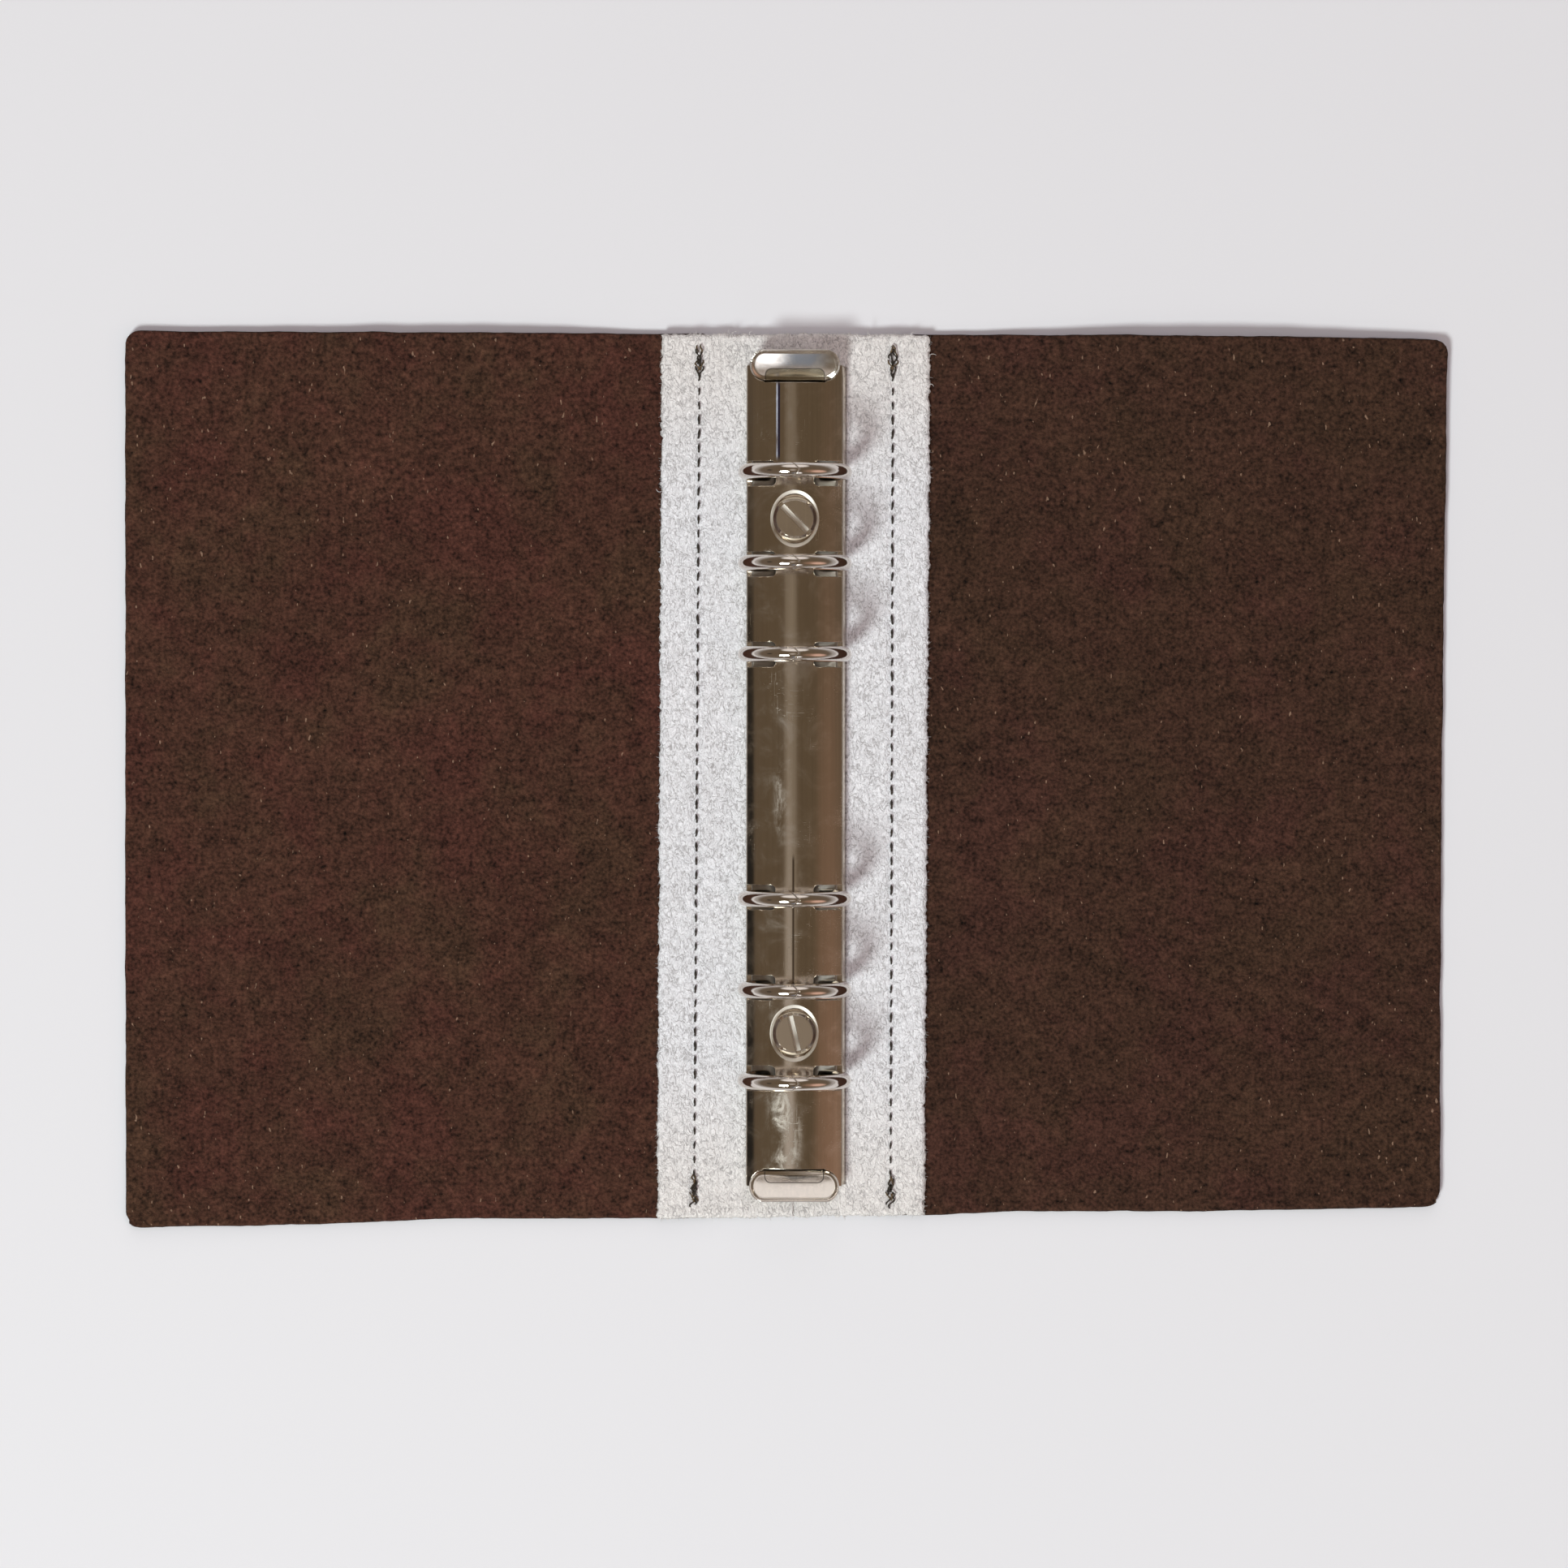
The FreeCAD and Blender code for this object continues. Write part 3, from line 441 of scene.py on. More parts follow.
def press_lever(end):
    """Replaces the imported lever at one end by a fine, rounded copy with a hollow pad."""
    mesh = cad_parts[f"lever_{end}"].data.copy()
    merged = bmesh.new()
    merged.from_mesh(mesh)
    bmesh.ops.remove_doubles(merged, verts=merged.verts, dist=1e-6)
    merged.to_mesh(mesh)
    merged.free()
    raw = bpy.data.objects.new("raw_lever", mesh)
    bpy.context.scene.collection.objects.link(raw)
    remesh = raw.modifiers.new("remesh", "REMESH")
    remesh.mode = "VOXEL"
    remesh.voxel_size = VOXEL * MM
    relax = raw.modifiers.new("relax", "SMOOTH")
    relax.factor, relax.iterations = 0.5, 3
    smooth = bpy.data.meshes.new_from_object(
        raw.evaluated_get(bpy.context.evaluated_depsgraph_get()))
    bpy.data.objects.remove(raw)
    for vertex in smooth.vertices:
        x, y = vertex.co.x / MM, abs(vertex.co.y) / MM
        if y > PAD_START:
            vertex.co.z -= pressed(x, y) * MM
            share = eased(y, PAD["near"] - 1, PAD["near"])
            vertex.co.x *= 1 + PAD_WIDER * share
            stretched = PAD["far"] - (PAD["far"] - y) * (1 + PAD_LONGER * share)
            vertex.co.y = math.copysign(stretched, vertex.co.y) * MM
    smooth.materials.clear()
    smooth.materials.append(lever_plate)
    smooth.polygons.foreach_set("material_index", [0] * len(smooth.polygons))
    smooth.polygons.foreach_set("use_smooth", [True] * len(smooth.polygons))
    lever = bpy.data.objects.new(f"press_lever_{end}", smooth)
    bpy.context.scene.collection.objects.link(lever)
    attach(lever, f"{end}_lever")
    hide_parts(f"lever_{end}")
    print(lever.name, len(smooth.polygons), "faces")


for end in ("upper", "lower"):
    press_lever(end)

# %% [markdown]
# A leather panel or a strip of suede is a sheet with two faces and a cut edge. All of them are
# made by one function from a grid of places seen from above. The grid's lines can follow a crooked
# outline, which a cube with a bevel could not, and the wall between the faces can bulge and fray.


# %% A sheet with two faces and a cut edge
WALL_STEPS = 4


def from_arrays(name, vertices, faces, finishes, finish_of=None):
    """A mesh piece from places in millimetres."""
    mesh = bpy.data.meshes.new(name)
    mesh.from_pydata((np.asarray(vertices, float) * MM).tolist(), [], [list(f) for f in faces])
    for finish in finishes:
        mesh.materials.append(finish)
    if finish_of is not None:
        mesh.polygons.foreach_set("material_index", np.asarray(finish_of, np.int32))
    mesh.polygons.foreach_set("use_smooth", [True] * len(mesh.polygons))
    mesh.update()
    piece = bpy.data.objects.new(name, mesh)
    bpy.context.scene.collection.objects.link(piece)
    return piece


def make_sheet(name, plan, upper, lower, fray, finishes):
    """plan[row, column] is a place seen from above; upper and lower are its two heights. The rows
    run to +y and the columns to +x. fray(x, y, share) is how far the edge stands out there, where
    share goes from 0 at the upper face to 1 at the lower one."""
    rows, columns = plan.shape[:2]
    count = rows * columns
    index = np.arange(count).reshape(rows, columns)
    loop = np.concatenate([index[0, :-1], index[:-1, -1], index[-1, :0:-1], index[:0:-1, 0]])
    flat = plan.reshape(-1, 2)
    top = np.column_stack([flat, upper.reshape(-1)])
    bottom = np.column_stack([flat, lower.reshape(-1)])
    rim = flat[loop]
    along = np.roll(rim, -1, 0) - np.roll(rim, 1, 0)
    out = np.column_stack([along[:, 1], -along[:, 0]])
    out /= np.maximum(np.linalg.norm(out, axis=1, keepdims=True), 1e-9)
    rings = []
    for step in range(1, WALL_STEPS):
        share = step / WALL_STEPS
        height = top[loop, 2] * (1 - share) + bottom[loop, 2] * share
        stand = np.array([fray(x, y, share) for x, y in rim])
        rings.append(np.column_stack([rim + out * stand[:, None], height]))
    vertices = np.vstack([top, bottom, *rings])
    quads = [(index[r, c], index[r, c + 1], index[r + 1, c + 1], index[r + 1, c])
             for r in range(rows - 1) for c in range(columns - 1)]
    faces = quads + [tuple(count + v for v in quad[::-1]) for quad in quads]
    finish_of = [0] * len(quads) + [2] * len(quads)
    levels = [loop, *(2 * count + k * len(loop) + np.arange(len(loop))
                      for k in range(WALL_STEPS - 1)), count + loop]
    for high, low in zip(levels, levels[1:]):
        for a in range(len(loop)):
            b = (a + 1) % len(loop)
            faces.append((high[a], low[a], low[b], high[b]))
            finish_of.append(1)
    return from_arrays(name, vertices, faces, finishes, finish_of)


def wander(x, y, size, seed=0.0):
    """Smooth irregular variation between about -1 and 1, with features size millimetres across."""
    return noise.noise(Vector((x / size, y / size, seed)))


# %% [markdown]
# Each leather panel was cut by hand, and neither is a true rectangle. The left one is about 4 mm
# taller than the right one, and its lower edge runs down towards the outer corner. The outline is
# given here as a few measured places along each edge. The outer corners are cut round.


# %% Outline of a leather panel
PANEL_LENGTH, PANEL_HEIGHT, INNER_EDGE = 120, 186, 19.6
GRID_STEP, OUTER_CORNER = 1.5, 2.8


def spread(length):
    """Shares from 0 to 1 of a length, one grid step apart and closer together at both ends."""
    places = set(np.round(np.linspace(0, length, int(length / GRID_STEP) + 1), 4))
    for inset in (0.25, 0.6, 1.1, 1.8, 2.4):
        places |= {inset, round(length - inset, 4)}
    return np.array(sorted(places)) / length


def panel_plan(outer, top, bottom):
    """A grid inside four crooked edges. outer, top and bottom are lists of measured places."""
    side = 1 if outer[0][0] > 0 else -1
    across, up = spread(PANEL_LENGTH), spread(PANEL_HEIGHT)
    plan = np.zeros((len(up), len(across), 2))
    outer_y, outer_x = zip(*sorted((y, x) for x, y in outer))
    top_x, top_y = zip(*sorted(top))
    bottom_x, bottom_y = zip(*sorted(bottom))
    for r, v in enumerate(up):
        guess = -94 + 187 * v
        edge = np.interp(guess, outer_y, outer_x) + 0.22 * wander(7, guess, 9, side)
        inside = side * INNER_EDGE + 0.004 * guess
        for c, u in enumerate(across):
            x = (edge * (1 - u) + inside * u) if side < 0 else (inside * (1 - u) + edge * u)
            high = np.interp(x, top_x, top_y) + 0.2 * wander(x, 3, 8, side)
            low = np.interp(x, bottom_x, bottom_y) + 0.2 * wander(x, -3, 8, side)
            plan[r, c] = x, low * (1 - v) + high * v
    rim = side * np.abs(plan[:, 0 if side < 0 else -1, 0])
    for r in range(len(up)):
        for c in range(len(across)):
            x, y = plan[r, c]
            column = plan[:, c, 1]
            for end, sign in ((column.max(), 1), (column.min(), -1)):
                middle = Vector((rim[r] - side * OUTER_CORNER, end - sign * OUTER_CORNER))
                away = Vector((x, y)) - middle
                if away.x * side > 0 and away.y * sign > 0 and away.length > OUTER_CORNER:
                    away.length = OUTER_CORNER
                    plan[r, c] = middle + away
    return plan


LEFT_TOP = [(-141.0, 93.5), (-99, 93.35), (-58, 93.2), (-31, 93.1), (-19, 93.1)]
LEFT_BOTTOM = [(-141.1, -95.4), (-99, -94.8), (-85.5, -94.1), (-72, -93.6), (-31, -93.5),
               (-19, -93.4)]
LEFT_OUTER = [(-141.05, 93), (-141.2, 0), (-141.0, -95)]
RIGHT_TOP = [(19, 93.0), (72, 92.9), (113, 92.45), (138, 92.1)]
RIGHT_BOTTOM = [(19, -92.8), (30, -92.7), (48, -92.0), (86, -91.95), (113.5, -91.4), (137, -90.9)]
RIGHT_OUTER = [(137.75, 92), (137.2, 44), (136.8, 0), (136.6, -40), (136.55, -91)]


# %% Thickness and warp of a leather panel
LEATHER_THICKNESS, RIM_DROP, INNER_DROP, SEAM_GROOVE = 2.0, 0.28, 0.2, 0.45
BOW_MIDDLE, BOW_LIFT = {"left": 70, "right": 88}, {"left": 1.5, "right": 2.5}


def panel_heights(plan, side, seed):
    """The leather is 2 mm thick with a soft upper rim. The middle of its top edge bows up, and its
    outer corners lift a little. A groove underneath takes the stitches."""
    x, y = plan[..., 0], plan[..., 1]
    out = np.clip((np.abs(x) - 60) / 80, 0, 1)
    bow = np.exp(-((np.abs(x) - BOW_MIDDLE[side]) / 38) ** 2)
    lift = BOW_LIFT[side] * bow * np.clip((y - 30) / 63, 0, 1) ** 2
    lift += 0.5 * out ** 2 * (np.abs(y) / 93) ** 2
    lift *= np.clip((np.abs(x) - 29) / 20, 0, 1)
    wave = np.vectorize(lambda a, b: wander(a, b, 38, seed))(x, y)
    pile = np.vectorize(lambda a, b: wander(a, b, 2.6, seed + 5))(x, y)
    upper = LEATHER_THICKNESS + lift + 0.1 * wave * out + 0.035 * pile
    lower = 0.02 + lift + 0.1 * np.maximum(wave, 0) * out
    upper[0], upper[-1] = upper[0] - RIM_DROP, upper[-1] - RIM_DROP
    rim = 0 if side == "left" else -1
    upper[1:-1, rim] -= RIM_DROP
    upper[1:-1, -1 - rim] -= INNER_DROP
    seam = np.abs(np.abs(x) - 20.8) < 0.8
    lower[seam] += SEAM_GROOVE
    return upper, lower


def cut_rim(x, y, share):
    """How far the leather's cut edge stands out: it bulges at mid height, and is uneven."""
    return 0.18 * math.sin(math.pi * share) + 0.1 * wander(x * 4, y * 4, 1.6, share)


for side, plan, seed, suede in (
        ("left", panel_plan(LEFT_OUTER, LEFT_TOP, LEFT_BOTTOM), 1.0, suede_left),
        ("right", panel_plan(RIGHT_OUTER, RIGHT_TOP, RIGHT_BOTTOM), 9.0, suede_right)):
    upper, lower = panel_heights(plan, side, seed)
    panel = make_sheet(f"leather_{side}", plan, upper, lower, cut_rim,
                       [suede, leather_edge, leather_grain])
    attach(panel, f"{side}_cover")
    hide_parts(f"cover_{side}")
    print(panel.name, len(panel.data.polygons), "faces")

# %% [markdown]
# The white strip is one piece of suede, sewn to both panels and left loose between them, where it
# folds when a cover is closed. Here it is two halves that meet under the housing. Along a seam the
# thread pulls the suede down, so there is a row of dents.


# %% Outline and dents of the strip
SEAM_TOP, SEAM_BOTTOM = {"left": -20.1, "right": 20.65}, {"left": -21.1, "right": 20.35}
STRIP_TOP, STRIP_BOTTOM = {"left": -27.8, "right": 28.3}, {"left": -28.6, "right": 27.35}
STRIP_END, SUEDE_LEVEL = 92.95, 3.4
STITCH_PITCH, STITCH_COUNT = 3.0, 59
SEAM_HALF = STITCH_PITCH * STITCH_COUNT / 2
DENT_WIDTH, LINE_DEPTH, HOLE_DEPTH = 0.75, 0.14, 0.34


def seam_x(side, y):
    """Where a seam runs: it leans by about a millimetre over its length."""
    share = (y + SEAM_HALF) / (2 * SEAM_HALF)
    return SEAM_BOTTOM[side] * (1 - share) + SEAM_TOP[side] * share


def strip_plan(side):
    """A grid from the middle of the strip to its long edge, which is uneven."""
    sign = 1 if side == "right" else -1
    across = np.linspace(0, 1, 50) if sign > 0 else np.linspace(1, 0, 50)
    up = np.linspace(-1, 1, 340)
    plan = np.zeros((len(up), len(across), 2))
    for r, v in enumerate(up):
        share = (v + 1) / 2
        edge = STRIP_BOTTOM[side] * (1 - share) + STRIP_TOP[side] * share
        edge += 0.3 * wander(sign * 5, v * 93, 3.2) + 0.42 * wander(sign * 9, v * 93, 0.9)
        for c, u in enumerate(across):
            x = edge * u
            top = STRIP_END - 0.25 * u + 0.3 * wander(x, 40, 3) + 0.25 * wander(x, 44, 0.8)
            low = -STRIP_END + sign * 0.4 * u + 0.3 * wander(x, -40, 3)
            low += 0.25 * wander(x, -44, 0.8)
            plan[r, c] = x, low * (1 - share) + top * share
    return plan


def strip_heights(plan, side):
    """The suede is dented along the seam, deepest at each hole, and its rim is soft."""
    x, y = plan[..., 0], plan[..., 1]
    pile = np.vectorize(lambda a, b: wander(a, b, 1.7, 3))(x, y)
    upper = SUEDE_LEVEL + 0.045 * pile
    lower = np.full_like(upper, 2.02)
    seam = np.vectorize(lambda b: seam_x(side, b))(y)
    across = np.exp(-((x - seam) / DENT_WIDTH) ** 2)
    step = (y + SEAM_HALF) / STITCH_PITCH
    hole = np.abs(step - np.floor(step) - 0.5) * 2
    sewn = (np.abs(y) < 90).astype(float)
    upper -= sewn * across * (LINE_DEPTH + HOLE_DEPTH * hole ** 3)
    for row in (0, -1):
        upper[row] -= 0.25
    for column in (0, -1):
        if abs(x[0, column]) > 5:
            upper[1:-1, column] -= 0.3
    return upper, lower


def torn_rim(x, y, share):
    """How far the suede's edge stands out. Where the two halves meet it is straight."""
    if abs(x) < 1:
        return 0.0
    return 0.25 * math.sin(math.pi * share) + 0.3 * wander(x * 3, y * 3, 1.5, share * 3)


strips = {}
for side in ("left", "right"):
    plan = strip_plan(side)
    upper, lower = strip_heights(plan, side)
    strips[side] = make_sheet(f"strip_{side}", plan, upper, lower, torn_rim, [white_suede] * 3)
    print(strips[side].name, len(strips[side].data.polygons), "faces")

# %% [markdown]
# The cut edges of suede shed fibres. They are hairs under a millimetre long, more than a thousand
# on each side, so Geometry Nodes place them: points along the edge, one curved hair on each,
# turned and scaled at random with a fixed seed. The tree ends in plain geometry, because only a
# mesh is exported. The same tree repeats the stitches further on.


# %% A tree that strews copies along a line
def tree_socket(tree, name, kind, default=None, out=False):
    made = tree.interface.new_socket(name, in_out="OUTPUT" if out else "INPUT", socket_type=kind)
    if default is not None:
        made.default_value = default
    return made


def strew_tree():
    tree = bpy.data.node_groups.new("strew_along_line", "GeometryNodeTree")
    tree_socket(tree, "Geometry", "NodeSocketGeometry")
    tree_socket(tree, "Shape", "NodeSocketObject")
    tree_socket(tree, "Spacing", "NodeSocketFloat", 0.001)
    tree_socket(tree, "Turn", "NodeSocketFloat", 0.0)
    tree_socket(tree, "Smallest", "NodeSocketFloat", 1.0)
    tree_socket(tree, "Largest", "NodeSocketFloat", 1.0)
    tree_socket(tree, "Seed", "NodeSocketInt", 0)
    tree_socket(tree, "Finish", "NodeSocketMaterial")
    tree_socket(tree, "Geometry", "NodeSocketGeometry", out=True)
    add, join = tree.nodes.new, tree.links.new
    given, result = add("NodeGroupInput"), add("NodeGroupOutput")
    line, points = add("GeometryNodeMeshToCurve"), add("GeometryNodeCurveToPoints")
    points.mode = "LENGTH"
    join(given.outputs["Geometry"], line.inputs["Mesh"])
    join(line.outputs["Curve"], points.inputs["Curve"])
    join(given.outputs["Spacing"], points.inputs["Length"])
    shape = add("GeometryNodeObjectInfo")
    join(given.outputs["Shape"], shape.inputs["Object"])
    place = add("GeometryNodeInstanceOnPoints")
    join(points.outputs["Points"], place.inputs["Points"])
    join(shape.outputs["Geometry"], place.inputs["Instance"])
    size = add("FunctionNodeRandomValue")
    size.data_type = "FLOAT"
    join(given.outputs["Smallest"], size.inputs[2])
    join(given.outputs["Largest"], size.inputs[3])
    join(given.outputs["Seed"], size.inputs["Seed"])
    join(size.outputs[1], place.inputs["Scale"])
    turn = add("FunctionNodeRandomValue")
    turn.data_type = "FLOAT_VECTOR"
    opposite = add("ShaderNodeMath")
    opposite.operation = "MULTIPLY"
    opposite.inputs[1].default_value = -1
    join(given.outputs["Turn"], opposite.inputs[0])
    join(opposite.outputs[0], turn.inputs[0])
    join(given.outputs["Turn"], turn.inputs[1])
    join(given.outputs["Seed"], turn.inputs["Seed"])
    spin = add("GeometryNodeRotateInstances")
    join(place.outputs["Instances"], spin.inputs["Instances"])
    join(turn.outputs[0], spin.inputs["Rotation"])
    real, finish = add("GeometryNodeRealizeInstances"), add("GeometryNodeSetMaterial")
    join(spin.outputs["Instances"], real.inputs["Geometry"])
    join(real.outputs["Geometry"], finish.inputs["Geometry"])
    join(given.outputs["Finish"], finish.inputs["Material"])
    join(finish.outputs["Geometry"], result.inputs["Geometry"])
    return tree


STREW = strew_tree()


# %% Running the tree
def strew(name, lines, shape, finish, spacing, turn, sizes, seed):
    """A piece made of copies of shape along lines, each a list of places in millimetres."""
    mesh = bpy.data.meshes.new(name)
    places, edges = [], []
    for line in lines:
        first = len(places)
        places += [tuple(v * MM for v in place) for place in line]
        edges += [(k, k + 1) for k in range(first, len(places) - 1)]
    mesh.from_pydata(places, edges, [])
    guide = bpy.data.objects.new(name + "_guide", mesh)
    bpy.context.scene.collection.objects.link(guide)
    modifier = guide.modifiers.new("strew", "NODES")
    modifier.node_group = STREW
    given = {"Shape": shape, "Spacing": spacing * MM, "Turn": turn, "Smallest": sizes[0],
             "Largest": sizes[1], "Seed": seed, "Finish": finish}
    for item in STREW.interface.items_tree:
        if item.in_out == "INPUT" and item.name in given:
            modifier[item.identifier] = given[item.name]
    made = bpy.data.meshes.new_from_object(
        guide.evaluated_get(bpy.context.evaluated_depsgraph_get()))
    bpy.data.objects.remove(guide)
    made.name = name
    made.materials.clear()
    made.materials.append(finish)
    made.polygons.foreach_set("material_index", [0] * len(made.polygons))
    made.polygons.foreach_set("use_smooth", [True] * len(made.polygons))
    piece = bpy.data.objects.new(name, made)
    bpy.context.scene.collection.objects.link(piece)
    print(name, len(made.polygons), "faces")
    return piece


# %% [markdown]
# A tube along a line of places serves for hairs and for thread. Its rings are turned square to the
# line, and its ends are closed.


# %% Tube along places
def tube(places, radii, sides):
    """Vertices and faces of a closed tube. radii gives its radius at each place."""
    places = [Vector(p) for p in places]
    vertices, faces = [], []
    for k, place in enumerate(places):
        ahead = (places[min(k + 1, len(places) - 1)] - places[max(k - 1, 0)]).normalized()
        across = ahead.cross(Vector((0.013, 0.017, 1.0))).normalized()
        level = across.cross(ahead)
        for s in range(sides):
            angle = 2 * math.pi * s / sides
            out = across * math.cos(angle) + level * math.sin(angle)
            vertices.append(place + radii[k] * out)
    for k in range(len(places) - 1):
        for s in range(sides):
            t = (s + 1) % sides
            faces.append((k * sides + s, k * sides + t, (k + 1) * sides + t, (k + 1) * sides + s))
    faces.append(tuple(range(sides))[::-1])
    faces.append(tuple(range((len(places) - 1) * sides, len(places) * sides)))
    return [tuple(v) for v in vertices], faces


def outward(piece):
    """Makes every face of closed parts point out."""
    shape = bmesh.new()
    shape.from_mesh(piece.data)
    bmesh.ops.recalc_face_normals(shape, faces=shape.faces)
    shape.to_mesh(piece.data)
    shape.free()
    return piece


def join_tubes(name, tubes, finishes):
    """One piece from several tubes. One without a finish is a shape to copy, so it is hidden."""
    vertices, faces = [], []
    for more_vertices, more_faces in tubes:
        start = len(vertices)
        vertices += more_vertices
        faces += [tuple(start + v for v in face) for face in more_faces]
    piece = outward(from_arrays(name, vertices, faces, finishes))
    piece.hide_render = not finishes
    return piece


# %% [markdown]
# The housing's walls end in a narrow splayed foot that stands on the suede. The right one splays
# further, and the camera sees it as a thin grey-green band beside the arch, which also stands in
# for the shade that falls on that side.


# %% Feet of the housing's walls
WALL_FACE, FOOT_TOP, FOOT_BASE, FOOT_END = 10.02, 5.3, 3.42, 86.2


def wall_foot(name, side, splay):
    """A strip half a millimetre thick along one wall. It leans out by splay millimetres below."""
    line = [(WALL_FACE, FOOT_TOP), (WALL_FACE + 0.3 * splay, 4.8), (WALL_FACE + 0.6 * splay, 4.2),
            (WALL_FACE + splay, FOOT_BASE + 0.08), (WALL_FACE + splay - 0.4, FOOT_BASE),
            (9.9, FOOT_BASE), (9.9, FOOT_TOP)]
    ends = np.linspace(-FOOT_END, FOOT_END, 60)
    vertices = [(side * x, y, z) for y in ends for x, z in line]
    n = len(line)
    faces = [(r * n + k, r * n + (k + 1) % n, (r + 1) * n + (k + 1) % n, (r + 1) * n + k)
             for r in range(len(ends) - 1) for k in range(n)]
    faces += [tuple(range(n)), tuple(range((len(ends) - 1) * n, len(ends) * n))]
    foot = outward(from_arrays(name, vertices, faces, [arch_plate]))
    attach(foot, "spine")
    print(foot.name, len(foot.data.polygons), "faces")


# The right foot's wider splay stands in partly for the shade beside the arch.
wall_foot("wall_foot_right", 1, 0.95)
wall_foot("wall_foot_left", -1, 0.2)

# %% [markdown]
# The cut edges of the strip get their fibres from the tree above, on two lines one over the other.
# A few longer hairs are made one by one.

# %% Fibres along the strip's cut edges
hair_places = [(0, 0, 0), (0.1, 0.28, 0.03), (0.05, 0.56, 0.0), (-0.1, 0.8, 0.06)]
hair = join_tubes("hair", [tube(hair_places, (0.035, 0.03, 0.022, 0.01), 3)], [])


def strip_rim(side, height):
    """One half's outline: along its upper end, down its long edge and along its lower end."""
    plan = strip_plan(side)
    edge = plan[:, 0] if side == "left" else plan[:, -1]
    top = plan[-1] if side == "left" else plan[-1, ::-1]
    low = plan[0, ::-1] if side == "left" else plan[0]
    line = [*top[::-1], *edge[::-1], *low[::-1]]
    return [(x, y, height) for x, y in line]


LOOSE_HAIRS = {
    "left": [(-13.5, 92.6, 1.6, 0.9), (-12.9, 92.7, -0.9, 1.7), (-9.5, 92.8, 0.5, 0.9),
             (-20, 92.6, -0.7, 1.2), (-27.9, 60, -1.3, 0.4), (-28.2, -40, -1.1, -0.5)],
    "right": [(16.0, 92.8, -0.3, 1.8), (24.5, 92.5, 0.9, 1.1), (28.2, 88.2, 1.6, 0.5),
              (28.1, 82.4, 1.2, -0.3), (27.8, 20, 1.1, 0.6), (10.2, -93.0, 0.5, -1.0)],
}


def loose_hairs(side):
    """Longer fibres, for each of which the list says where it starts and how far it goes."""
    tubes = []
    for x, y, dx, dy in LOOSE_HAIRS[side]:
        bend = Vector((-dy, dx)) * 0.3
        places = [(x + dx * t + bend.x * math.sin(math.pi * t),
                   y + dy * t + bend.y * math.sin(math.pi * t),
                   3.1 + 0.4 * t) for t in (0, 0.25, 0.5, 0.75, 1)]
        tubes.append(tube(places, (0.07, 0.065, 0.06, 0.05, 0.03), 4))
    return join_tubes(f"loose_hairs_{side}", tubes, [white_suede])


for side in ("left", "right"):
    seed = 11 if side == "left" else 23
    lines = [strip_rim(side, z) for z in (3.1, 2.75)]
    fibres = strew(f"strip_fibres_{side}", lines, hair, white_suede, 0.42, 3.0, (0.5, 1.25), seed)
    for piece in (strips[side], fibres, loose_hairs(side)):
        sign = 1 if side == "right" else -1
        sign * 11 * MM
        sign * 19 * MM
        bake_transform(piece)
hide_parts("spine_strip", "strip_flap_left")
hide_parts("spine_strip", "strip_flap_right")
bpy.data.objects.remove(hair)

# %% [markdown]
# The seams are lockstitch in a thick twisted thread. Between two holes the thread lies on the
# suede as a short bar, and at each hole it dives. Two plies wound about each other give each bar
# its twist, and Geometry Nodes repeat it at the pitch. Flatter bars run along the groove on the
# underside.


# %% Thread finish
def make_thread(name, light, dark):
    thread = Finish(name)
    plies = thread.noise(0.22, 2, 0.6, stretch=(1, 0.4, 1), turn=0.8)
    clouds = thread.noise(2.5, 2, 0.5)
    colour = thread.mix(plies.above(0.35, 0.65), dark, light)
    return thread.set(base_color=thread.mix(clouds * 0.4, colour, dark),
                      roughness=0.6, normal=thread.bump(plies, 0.06))


dark_thread = make_thread("dark_thread", paint(58, 46, 32), paint(22, 17, 12))
golden_thread = make_thread("golden_thread", paint(124, 98, 62), paint(50, 38, 24))


# %% One stitch
PLY_OFFSET = 0.1
PLIES = (0.0, math.pi)


def ply_places(phase, length, rise, twist, count):
    """Places along one ply, which winds about the stitch's middle line and dives at both ends."""
    places = []
    for k in range(count):
        share = k / (count - 1)
        lift = rise * math.sin(math.pi * share) ** 0.6 - 0.35 * abs(2 * share - 1) ** 5
        angle = phase + twist * share
        places.append((PLY_OFFSET * math.cos(angle), (share - 0.5) * length,
                       lift + PLY_OFFSET * math.sin(angle)))
    return places


def stitch_shape(name, length, rise):
    tubes = [tube(ply_places(phase, length, rise, 1.6 * math.pi, 8),
                  [0.08, 0.14, 0.17, 0.18, 0.18, 0.17, 0.14, 0.08], 5) for phase in PLIES]
    return join_tubes(name, tubes, [])


# %% Lines of stitches
def seam_line(side, height):
    half = STITCH_PITCH * (STITCH_COUNT - 1) / 2
    return [(seam_x(side, y), y, height) for y in (-half, half)]


def joined(name, pieces):
    """Several mesh objects as one, with each object's own finish."""
    mesh = bpy.data.meshes.new(name)
    shape = bmesh.new()
    for piece in pieces:
        finish = piece.data.materials[0]
        if finish.name not in mesh.materials:
            mesh.materials.append(finish)
        first = len(shape.faces)
        shape.from_mesh(piece.data)
        shape.faces.ensure_lookup_table()
        for face in shape.faces[first:]:
            face.material_index = mesh.materials.find(finish.name)
        bpy.data.objects.remove(piece)
    shape.to_mesh(mesh)
    shape.free()
    whole = bpy.data.objects.new(name, mesh)
    bpy.context.scene.collection.objects.link(whole)
    return whole


upper_stitch = stitch_shape("upper_stitch", 1.85, 0.26)
under_stitch = stitch_shape("under_stitch", 2.3, -0.12)

# %% [markdown]
# At each end of a seam the machine went back over its own last stitches. That leaves a thick bar
# of several threads on top of one another, and there the photograph shows the thread's golden
# inside.


# %% Back-tacks
TACK_Y, TACK_THREADS = 87.6, 10


